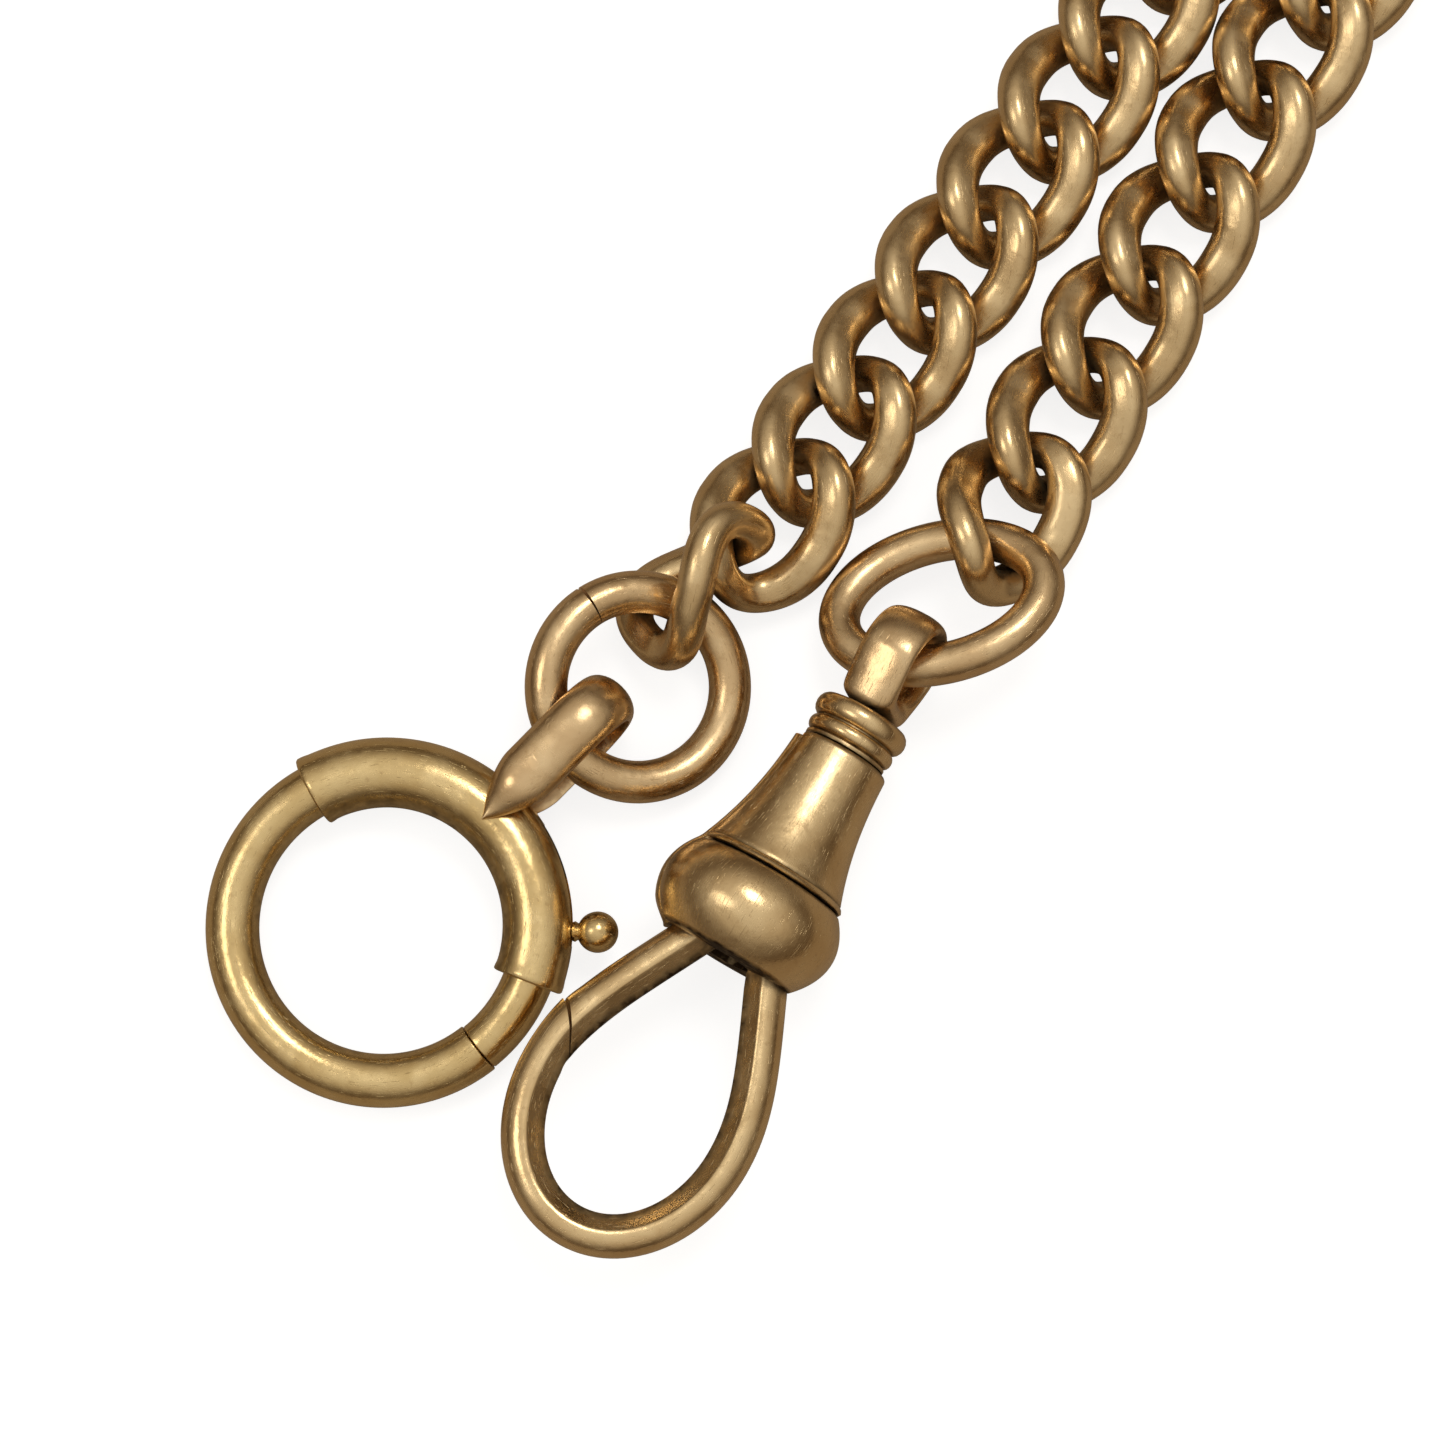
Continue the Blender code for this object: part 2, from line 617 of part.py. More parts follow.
def add_clip_shells(clip):
    """Add the bell-shaped body and the bulb below it, both slotted for the gate."""
    hole = POST_RADIUS + RUNNING_GAP
    body = [(BODY_TOP, BODY_TOP_RADIUS - 0.15), (BODY_TOP, hole), (BODY_TOP + SHELL_WALL, hole)]
    inside_top = BODY_TOP + SHELL_WALL
    body_steps = 6
    inner = []
    for k in range(body_steps + 1):
        u = inside_top + (BODY_BOTTOM - inside_top) * k / body_steps
        inner.append((u, body_radius(u) - SHELL_WALL))
    outer = []
    for k in range(body_steps + 1):
        u = BODY_BOTTOM + (BODY_TOP + 0.2 - BODY_BOTTOM) * k / body_steps
        outer.append((u, body_radius(u)))
    bell = add_lathed("clip_body", outer + body + inner, 24, clip, gold, closed=True)

    top = BODY_BOTTOM + SEAM_GAP
    base_steps = 7
    outer = []
    inner = []
    for k in range(base_steps + 1):
        u = BASE_BOTTOM + (top - BASE_BOTTOM) * k / base_steps
        outer.append((u, base_radius(u)))
        back = top + (BASE_BOTTOM - top) * k / base_steps
        inner.append((back, base_radius(back) - SHELL_WALL))
    bulb = add_lathed("clip_base", outer + inner, 24, clip, gold, closed=True)

    half = GATE_WIDTH / 2.0 + GATE_GAP
    depth = BASE_RADIUS + 1.0
    slot = plate_curve("gate_slot", [slot_plan(half)], depth / 2.0)
    stand = Matrix.Rotation(math.radians(90.0), 4, "X")
    spot = (0.0, GATE_SLOT_FLOOR_W - depth / 2.0, 0.0)
    slot = as_mesh(place(add_cutter("gate_slot", slot), clip, spot, stand))
    combine(bell, slot, "DIFFERENCE")
    combine(bulb, slot, "DIFFERENCE")
    cut_hook_seat(bulb, clip)
    across = [(PIN_U, PIN_W, -4.0), (PIN_U, PIN_W, 4.0)]
    pin_hole = wire_curve("pin_hole", across, PIN_RADIUS + PIN_HOLE_GAP)
    pin_hole = as_mesh(place(add_cutter("pin_hole", pin_hole), clip))
    combine(bell, pin_hole, "DIFFERENCE")


def hook_flank(share):
    """Return a point on the hook's flank, from its exit (0) to its widest place (1), and its slope."""
    length = HOOK_WIDEST_U - BASE_BOTTOM
    corners = [(BASE_BOTTOM, HOOK_EXIT_W)]
    corners.append((BASE_BOTTOM + 0.42 * length, HOOK_EXIT_W + 0.42 * length * HOOK_SLOPE))
    widest = HOOK_MIDDLE_W + HOOK_HALF_WIDTH
    corners.append((BASE_BOTTOM + 0.68 * length, widest))
    corners.append((HOOK_WIDEST_U, widest))
    back = 1.0 - share
    weights = (back ** 3, 3.0 * back ** 2 * share, 3.0 * back * share ** 2, share ** 3)
    return tuple(sum(w * c[i] for w, c in zip(weights, corners)) for i in (0, 1))


def flank_edge(share, out):
    """Return a point at a distance out from the middle line of the hook's flank."""
    u, w = hook_flank(share)
    next_u, next_w = hook_flank(share + 0.01)
    along = Vector((next_u - u, next_w - w)).normalized()
    return u - out * along.y, w + out * along.x


def other_side(point):
    """Return a point's mirror image across the hook's middle line."""
    return point[0], 2.0 * HOOK_MIDDLE_W - point[1]


def seam_share():
    """Return how far along its flank the hook ends, by halving."""
    low, high = 0.0, 1.0
    for _ in range(30):
        middle = (low + high) / 2.0
        if hook_flank(middle)[0] < SEAM_U:
            low = middle
        else:
            high = middle
    return low


def seam_corner(out, gap=0.0):
    """Return a point on the slanted seam, at a distance out from the middle of the wire."""
    u, w = other_side(flank_edge(seam_share(), out))
    return u - gap - SEAM_LEAN * out, w


def add_hook(clip):
    """Add the pear-shaped hook, open on one side where the gate closes."""
    points = [(HOOK_ROOT_U, HOOK_ROOT_W, 0.0)]
    flank_steps = 6
    for k in range(flank_steps):
        points.append((*hook_flank(k / flank_steps), 0.0))
    depth = HOOK_BOTTOM_U - HOOK_WIDEST_U
    steps = 14
    for k in range(steps + 1):
        angle = math.pi * k / steps
        u = HOOK_WIDEST_U + depth * math.sin(angle)
        points.append((u, HOOK_MIDDLE_W + HOOK_HALF_WIDTH * math.cos(angle), 0.0))
    for share in (0.85, 0.7, 0.55):
        points.append((*other_side(hook_flank(share)), 0.0))
    hook = wire_curve("clip_hook", points, HOOK_WIRE / 2.0, rounding=3)
    hook = as_mesh(place(add_object("clip_hook", hook, gold), clip))
    reach = HOOK_WIRE
    outer, inner = seam_corner(reach), seam_corner(-reach)
    outline = [outer, inner, (inner[0] - 5.0, inner[1]), (outer[0] - 5.0, outer[1])]
    waste = plate_curve("hook_end_cut", [outline], reach)
    waste = as_mesh(place(add_cutter("hook_end_cut", waste), clip))
    combine(hook, waste, "DIFFERENCE")


def add_gate(clip):
    """Add the one-piece spring gate, its pivot pin and its leaf spring."""
    axis = add_empty("gate_axis", clip, (PIN_U, PIN_W, 0.0))
    half = HOOK_WIRE / 2.0
    outer = []
    inner = []
    for k in range(13):
        u = BODY_TOP + 0.25 + (BASE_BOTTOM - 0.1 - BODY_TOP - 0.25) * k / 12.0
        radius = body_radius(u) if u < BODY_BOTTOM else base_radius(u)
        outer.append((u, -radius - 0.5))
        lug = GATE_LUG * max(0.0, 1.0 - abs(u - PIN_U) / 1.1)
        inner.append((u, -radius + GATE_STRIP + lug))
    for share in (0.07, 0.25, 0.45):
        outer.append(other_side(flank_edge(share, half - GATE_ARM_INSET * (1.0 - share))))
    for share in (0.07, 0.25, 0.45, 0.65):
        inner.append(other_side(flank_edge(share, -half - GATE_ARM_INSET * (1.0 - share))))
    outer.append(seam_corner(half, GATE_TIP_GAP))
    inner.append(seam_corner(-half, GATE_TIP_GAP))
    outline = [(u - PIN_U, w - PIN_W) for u, w in outer + inner[::-1]]
    plate = plate_curve("gate_lever", [outline], GATE_WIDTH / 2.0)
    lever = as_mesh(place(add_object("gate_lever", plate, gold), axis))
    reach = HOOK_HALF_WIDTH + HOOK_WIRE
    profile = [(SEAM_U + 3.0, 0.0), (SEAM_U + 3.0, reach), (BASE_BOTTOM, reach)]
    for k in range(1, 13):
        u = BASE_BOTTOM - 0.02 - (BASE_BOTTOM - BODY_TOP) * k / 12.0
        radius = body_radius(u) if u < BODY_BOTTOM else base_radius(u)
        profile.append((u, radius + GATE_PROUD))
    profile.append((profile[-1][0], 0.0))
    skin = add_lathed("gate_skin", profile, 48, clip, None, cutter=True)
    combine(lever, skin, "INTERSECT")
    bore = [(PIN_U, PIN_W, -4.0), (PIN_U, PIN_W, 4.0)]
    bore = wire_curve("gate_bore", bore, PIN_RADIUS + RUNNING_GAP)
    bore = as_mesh(place(add_cutter("gate_bore", bore), clip))
    combine(lever, bore, "DIFFERENCE")
    pin_half = math.sqrt(body_radius(PIN_U) ** 2 - PIN_W ** 2) - 0.1
    pin = [(PIN_U, PIN_W, -pin_half), (PIN_U, PIN_W, pin_half)]
    place(add_object("gate_pin", wire_curve("gate_pin", pin, PIN_RADIUS), dark_gold), clip)
    back = [(u, w + LEAF_THICKNESS) for u, w in LEAF_PATH]
    plate = plate_curve("gate_spring", [list(LEAF_PATH) + back[::-1]], LEAF_WIDTH / 2.0)
    place(add_object("gate_spring", plate, steel), clip)


def add_clip(parent):
    """Add the dog clip on its own axis, with +X running from the collar to the hook."""
    ring_2 = Vector(RING_2_SPOT)
    turn = tilt_matrix(RING_2_HEADING, *RING_2_TILT)
    half_width = (RING_2_WIDTH - RING_2_WIRE) / 2.0
    bearing = ring_2 + turn @ Vector((0.0, -half_width, 0.0))
    axis = add_empty("clip_eye_axis", parent, bearing)
    clip = add_empty("clip_centre", axis, Vector(CLIP_SPOT) - bearing, turn_matrix(CLIP_HEADING))
    add_swivel(clip)
    add_clip_shells(clip)
    add_hook(clip)
    add_gate(clip)


def settle(frame):
    """Move the whole chain so that the middle of its box's underside is the origin."""
    bpy.context.view_layer.update()
    graph = bpy.context.evaluated_depsgraph_get()
    low = Vector((math.inf,) * 3)
    high = Vector((-math.inf,) * 3)
    for obj in parts.objects:
        if obj.type == "EMPTY":
            continue
        shown = obj.evaluated_get(graph)
        mesh = shown.to_mesh()
        for vertex in mesh.vertices:
            point = shown.matrix_world @ vertex.co
            low = Vector(map(min, low, point))
            high = Vector(map(max, high, point))
        shown.to_mesh_clear()
    frame.location = (-(low.x + high.x) / 2.0, -(low.y + high.y) / 2.0, -low.z)


clear_scene()
parts = make_collection(COLLECTION)
cutters = make_collection(COLLECTION + "_cutters")
gold = make_material("worn_gold", GOLD, 0.35)
dark_gold = make_material("dark_gold", DARK_GOLD, 0.45)
steel = make_material("spring_steel", STEEL, 0.40)
link_curve = wire_curve("curb_link", curb_link_points(), LINK_WIRE / 2.0, closed=True)
chain_frame = add_empty("chain_frame", None)
add_chain(chain_frame)
add_jump_rings(chain_frame)
add_bolt_ring(chain_frame)
add_clip(chain_frame)
settle(chain_frame)
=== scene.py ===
"""Looks of a gold curb pocket watch chain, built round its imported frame.

Each wire, strap and turned piece is drawn again as a smooth mesh in the place of its CAD solid.
Shapes are in millimetres in each piece's own axes, which are read from the frame.
"""
import json
import math

import bpy
import numpy as np
from mathutils import Matrix, Vector


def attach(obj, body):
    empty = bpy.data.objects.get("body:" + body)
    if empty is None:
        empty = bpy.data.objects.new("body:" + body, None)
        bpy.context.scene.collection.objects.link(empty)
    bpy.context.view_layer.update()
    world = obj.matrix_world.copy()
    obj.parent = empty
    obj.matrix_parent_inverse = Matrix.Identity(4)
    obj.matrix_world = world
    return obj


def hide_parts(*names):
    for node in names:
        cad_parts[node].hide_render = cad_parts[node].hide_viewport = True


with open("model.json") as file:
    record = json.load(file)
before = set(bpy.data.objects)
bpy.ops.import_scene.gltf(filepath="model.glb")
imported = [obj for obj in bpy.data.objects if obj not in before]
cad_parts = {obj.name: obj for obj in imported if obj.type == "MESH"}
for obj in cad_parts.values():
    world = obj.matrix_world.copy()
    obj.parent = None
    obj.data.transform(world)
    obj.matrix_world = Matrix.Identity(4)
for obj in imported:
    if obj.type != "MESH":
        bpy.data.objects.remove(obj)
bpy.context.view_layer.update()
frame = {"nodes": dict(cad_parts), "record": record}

MM = 0.001
JOINTS = {joint["name"]: joint for joint in frame["record"]["behaviour"]["joints"]}
BODIES = frame["record"]["behaviour"]["bodies"]
BODY_OF = {node: body for body, nodes in BODIES.items() for node in nodes}

# Curb link.
LINK_COUNT = 40
LINK_LENGTH = 9.50
LINK_WIDTH = 7.36
LINK_WIRE = 1.78
LINK_TWIST = 50.0
LINK_SQUARENESS = 2.3
LINK_WORN_TO = 0.90
LINK_RUBBED = 0.7
LINK_SIDE_OUT = 0.19
LINK_SIDE_IN = 0.33
LINK_SIDE_FACE = 0.10

# Jump rings.
RING_1_RADIUS = 4.63
RING_1_WIRE = 2.08
RING_1_SLIT_HEADING = 158.0
RING_2_LENGTH = 12.2
RING_2_WIDTH = 9.0
RING_2_WIRE = 2.03
RING_2_HEADING = 43.1
RING_2_SLIT = 222.0
RING_SLIT = 0.10

# Bolt ring, in degrees about its centre from the button's side.
BOLT_RING_RADIUS = 7.45
TUBE_RADIUS = 1.30
BOLT_RADIUS = 1.225
SLEEVE_RADIUS = 1.75
SLEEVE_WALL = 0.35
SLEEVE_ENDS = (23.5, 163.6)
TUBE_ENDS = (154.6, 353.0)
BOLT_ENDS = (-6.6, 60.0)
BUTTON_ANGLE = 43.0
BUTTON_REACH = 10.35
BUTTON_BALL = 1.0
BUTTON_STEM = 0.35
SLOT_ENDS = (38.5, 77.0)
SLOT_HALF_OPENING = 0.5
BAIL_INSIDE = 1.80
BAIL_STRAP = 1.05
BAIL_HALF_WIDTH = 1.45
BAIL_TIP = 7.05
BAIL_SHOULDER = 10.2
BAIL_BEND = 13.45

# Swivel and clip, along the clip's axis from the collar's middle, towards the hook. The eye's own
# sizes run the other way.
EYE_CENTRE = 4.0
EYE_HOLE = (1.70, 1.75)
EYE_OUTSIDE = (2.65, 2.70)
EYE_FOOT = 1.05
EYE_FOOT_HALF = 1.80
EYE_HALF_WIDTH = 1.40
COLLAR_RADIUS = 2.42
COLLAR_TOP = 1.0
COLLAR_BOTTOM = 1.2
POST_RADIUS = 0.55
POST_HOLE = 0.66
HEAD_RADIUS = 0.80
BODY_TOP = 1.30
BODY_BOTTOM = 8.15
BODY_TOP_RADIUS = 2.42
BODY_BOTTOM_RADIUS = 3.80
BASE_TOP = 8.25
BASE_BOTTOM = 12.6
BASE_RADIUS = 4.65
BASE_RIM_RADIUS = 3.50
BASE_HOLE = 1.45
BASE_FLOOR = 0.40
SHELL_WALL = 0.50
SLOT_HALF_WIDTH = 1.30
SLOT_FLOOR = 0.90
HOOK_WIRE = 2.13
HOOK_HALF_WIDTH = 4.98
HOOK_MIDDLE = 0.14
HOOK_WIDEST = 21.0
HOOK_BOTTOM = 27.2
HOOK_ROOT = (9.6, 2.10)
HOOK_EXIT = 2.35
HOOK_SLOPE = 0.46
SEAM_AT = 19.4
SEAM_LEAN = 0.95
SEAM_GAP = 0.08
SEAM_TILT = 0.35
GATE_HALF_WIDTH = 1.15
GATE_STRIP = 0.70
GATE_PROUD = 0.05
GATE_INSET = 0.35
STRIP_END_SINK = 0.35

# Camera: the middle of the view, from the bolt ring's centre, and the angle it is seen at.
VIEW_FROM_RING = (8.24, 17.28)
VIEW_HEIGHT = 2.0
VIEW_ELEVATION = 80.0
VIEW_TURN = 33.0
VIEW_DISTANCE = 196.0
VIEW_WIDTH = 70.49
SENSOR_WIDTH = 36.0

# Material, and brown patina with painted shade.
SPOT_BROWN = (0.42, 0.26, 0.115, 1.0)
# Brown for patina and painted shade in joins, grooves and hollows.
PATINA_AND_SHADE_BROWN = (0.045, 0.026, 0.013, 1.0)
PATINA_AND_SHADE_REACH = (0.05, 0.75)
BAIL_PATINA_AND_SHADE_RADIUS = 0.6
EYE_PATINA_AND_SHADE_REACH = 2.1
EYE_PATINA_AND_SHADE_RADIUS = 0.8
NEAR_LINK = 16.0
SMOOTH_UNDER = 42.0
BOLT_RING_PARTS = {"bolt", "thumb_button", "ring_sleeve", "ring_bail"}

# The middle line and radius of each wire that darkens others near it with patina and painted shade, filled
# in below.
wires = {}


def solid_axes(node):
    """Return a CAD node's middle and principal axes, longest first, in millimetres."""
    mesh = frame["nodes"][node].data
    points = np.empty(len(mesh.vertices) * 3)
    mesh.vertices.foreach_get("co", points)
    points = points.reshape(-1, 3) / MM
    mesh.calc_loop_triangles()
    corners = np.empty(len(mesh.loop_triangles) * 3, dtype=np.int32)
    mesh.loop_triangles.foreach_get("vertices", corners)
    start = points.mean(axis=0)
    a, b, c = (points[corners.reshape(-1, 3)[:, k]] - start for k in range(3))
    volume = np.einsum("ij,ij->i", a, np.cross(b, c)) / 6.0
    total = a + b + c
    middle = (total * volume[:, None]).sum(axis=0) / (4.0 * volume.sum())
    second = sum(np.einsum("i,ij,ik->jk", volume, v, v) for v in (a, b, c, total)) / 20.0
    second = second / volume.sum() - np.outer(middle, middle)
    axes = np.linalg.eigh(second)[1][:, ::-1]
    return start + middle, axes


def unit(vector):
    """Return a vector at length one."""
    vector = np.array(vector, dtype=float)
    return vector / np.linalg.norm(vector)


def axes_frame(origin, x_axis, z_axis):
    """Return the 4x4 place of a piece from its origin in millimetres, a rough +X and its +Z."""
    z_axis = unit(z_axis)
    x_axis = unit(np.array(x_axis) - np.dot(x_axis, z_axis) * z_axis)
    place = np.eye(4)
    place[:3, 0] = x_axis
    place[:3, 1] = np.cross(z_axis, x_axis)
    place[:3, 2] = z_axis
    place[:3, 3] = origin
    return place


def to_row(points, place):
    """Return points in the row frame, in millimetres."""
    return points @ place[:3, :3].T + place[:3, 3]


def heading(degrees):
    """Return a level direction at an angle from +X."""
    turn = math.radians(degrees)
    return (math.cos(turn), math.sin(turn), 0.0)


def smooth_step(value, start, end):
    """Return 0 at start and below, 1 at end and above, and an easy slope between."""
    share = np.clip((value - start) / (end - start), 0.0, 1.0)
    return share * share * (3.0 - 2.0 * share)


def swell(value, power):
    """Return a signed power."""
    return np.sign(value) * np.abs(value) ** power


def stitch(rings, closed, wrap_length, wrap_girth):
    """Return the points, faces and UVs of rings of points joined in order."""
    count, around = rings.shape[:2]
    spans = count if closed else count - 1
    faces, uvs = [], []
    for i in range(spans):
        low, high = i * around, (i + 1) % count * around
        for j in range(around):
            k = (j + 1) % around
            faces.append((low + j, high + j, high + k, low + k))
            left, right = wrap_girth[j], wrap_girth[j + 1]
            near, far = wrap_length[i], wrap_length[i + 1]
            uvs += [(near, left), (far, left), (far, right), (near, right)]
    if not closed:
        last = (count - 1) * around
        faces.append(tuple(range(around)))
        faces.append(tuple(last + j for j in reversed(range(around))))
        for ring in (0, count - 1):
            uvs += [(wrap_length[ring], wrap_girth[j]) for j in range(around)]
    return rings.reshape(-1, 3), faces, uvs


def sweep(path, up, section, closed=False):
    """Return the shape of a wire: path and up have n rows, and section has n rings of (out, up)."""
    if closed:
        along = np.roll(path, -1, axis=0) - np.roll(path, 1, axis=0)
    else:
        along = np.gradient(path, axis=0)
    along /= np.linalg.norm(along, axis=1)[:, None]
    level = up - (up * along).sum(axis=1)[:, None] * along
    level /= np.linalg.norm(level, axis=1)[:, None]
    out = np.cross(along, level)
    rings = path[:, None, :] + section[:, :, :1] * out[:, None, :]
    rings = rings + section[:, :, 1:] * level[:, None, :]
    steps = np.linalg.norm(np.diff(path, axis=0, append=path[:1]), axis=1)
    wrap_length = np.concatenate([[0.0], np.cumsum(steps)]) / 10.0
    loop = np.concatenate([section[0], section[0][:1]])
    girth = np.linalg.norm(np.diff(loop, axis=0), axis=1)
    wrap_girth = np.concatenate([[0.0], np.cumsum(girth)]) / 10.0
    return stitch(rings, closed, wrap_length, wrap_girth)


def turned(profile, around=48, bend=None, closed=False):
    """Return a turned shape: (along, radius) pairs about +X, or about an arc of radius bend."""
    profile = np.array(profile, dtype=float)
    angles = np.linspace(0.0, 2.0 * math.pi, around, endpoint=False) - math.pi / 2.0
    along, radius = profile[:, :1], profile[:, 1:]
    out, up = radius * np.cos(angles), radius * np.sin(angles)
    if bend is None:
        rings = np.stack([along + 0.0 * out, out, up], axis=2)
        rings = rings[:, ::-1]
    else:
        turn = np.radians(along)
        rings = np.stack([(bend + out) * np.cos(turn), (bend + out) * np.sin(turn), up], axis=2)
        along = turn * bend
    lengthwise = np.diff(along[:, 0], append=along[0, 0])
    outward = np.diff(radius[:, 0], append=radius[0, 0])
    steps = np.hypot(lengthwise, outward)
    wrap_length = np.concatenate([[0.0], np.cumsum(steps)]) / 10.0
    wrap_girth = np.linspace(0.0, 2.0 * math.pi * radius.max(), around + 1) / 10.0
    return stitch(rings, closed, wrap_length, wrap_girth)


def softened(ends, radius, steps, edge):
    """Return a rod's (along, radius) profile with rounded edges; lengths are along the rod."""
    start, end = ends
    profile = [(start, radius - edge)]
    turns = [math.radians(30.0 * k) for k in (1, 2, 3)]
    profile += [(start + edge * (1.0 - math.cos(t)), radius - edge + edge * math.sin(t)) for t in turns]
    inner = np.linspace(start + edge, end - edge, steps + 1)[1:-1]
    profile += [(at, radius) for at in inner]
    profile += [(end - edge * (1.0 - math.cos(t)), radius - edge + edge * math.sin(t)) for t in turns[::-1]]
    profile.append((end, radius - edge))
    return profile


def add_piece(name, shape, place, material, node, patina_and_shade):
    """Add a mesh in the row frame that rides with its CAD node's body and stands for it."""
    points, faces, uvs = shape
    row_points = to_row(points, place)
    mesh = bpy.data.meshes.new(name)
    mesh.from_pydata((row_points * MM).tolist(), [], faces)
    layer = mesh.uv_layers.new(name="wire")
    layer.data.foreach_set("uv", np.array(uvs, dtype=np.float32).ravel())
    # Per-point mask of patina and painted shade, read by the gold material.
    patina_and_shade_mask = mesh.attributes.new("patina_and_shade", "FLOAT", "POINT")
    patina_and_shade_mask.data.foreach_set("value", np.clip(patina_and_shade, 0.0, 1.0).astype(np.float32))
    mesh.polygons.foreach_set("use_smooth", [True] * len(mesh.polygons))
    mesh.update()
    mesh.set_sharp_from_angle(angle=math.radians(SMOOTH_UNDER))
    mesh.materials.append(material)
    made = bpy.data.objects.new(name, mesh)
    bpy.context.scene.collection.objects.link(made)
    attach(made, BODY_OF[node])
    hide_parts(node)
    return made


def carve(made, cutter_shape, place):
    """Cut a shape out of a piece for good."""
    mesh = bpy.data.meshes.new("cutter")
    mesh.from_pydata((to_row(cutter_shape[0], place) * MM).tolist(), [], cutter_shape[1])
    cutter = bpy.data.objects.new("cutter", mesh)
    bpy.context.scene.collection.objects.link(cutter)
    step = made.modifiers.new("carve", "BOOLEAN")
    step.operation = "DIFFERENCE"
    step.solver = "EXACT"
    step.object = cutter
    bpy.context.view_layer.update()
    graph = bpy.context.evaluated_depsgraph_get()
    result = bpy.data.meshes.new_from_object(made.evaluated_get(graph))
    made.modifiers.clear()
    made.data = result
    bpy.data.objects.remove(cutter, do_unlink=True)


def block(low, high):
    """Return a box between two corners."""
    (x0, y0, z0), (x1, y1, z1) = low, high
    points = [(x, y, z) for z in (z0, z1) for y in (y0, y1) for x in (x0, x1)]
    faces = [(0, 2, 3, 1), (4, 5, 7, 6), (0, 1, 5, 4), (2, 6, 7, 3), (0, 4, 6, 2), (1, 3, 7, 5)]
    return np.array(points, dtype=float), faces


def circle_section(count, radius, around=28):
    """Return the same round section for each ring."""
    turns = np.linspace(0.0, 2.0 * math.pi, around, endpoint=False) - math.pi / 2.0
    ring = radius * np.stack([np.cos(turns), np.sin(turns)], axis=1)
    return np.repeat(ring[None], count, axis=0)


# Materials.


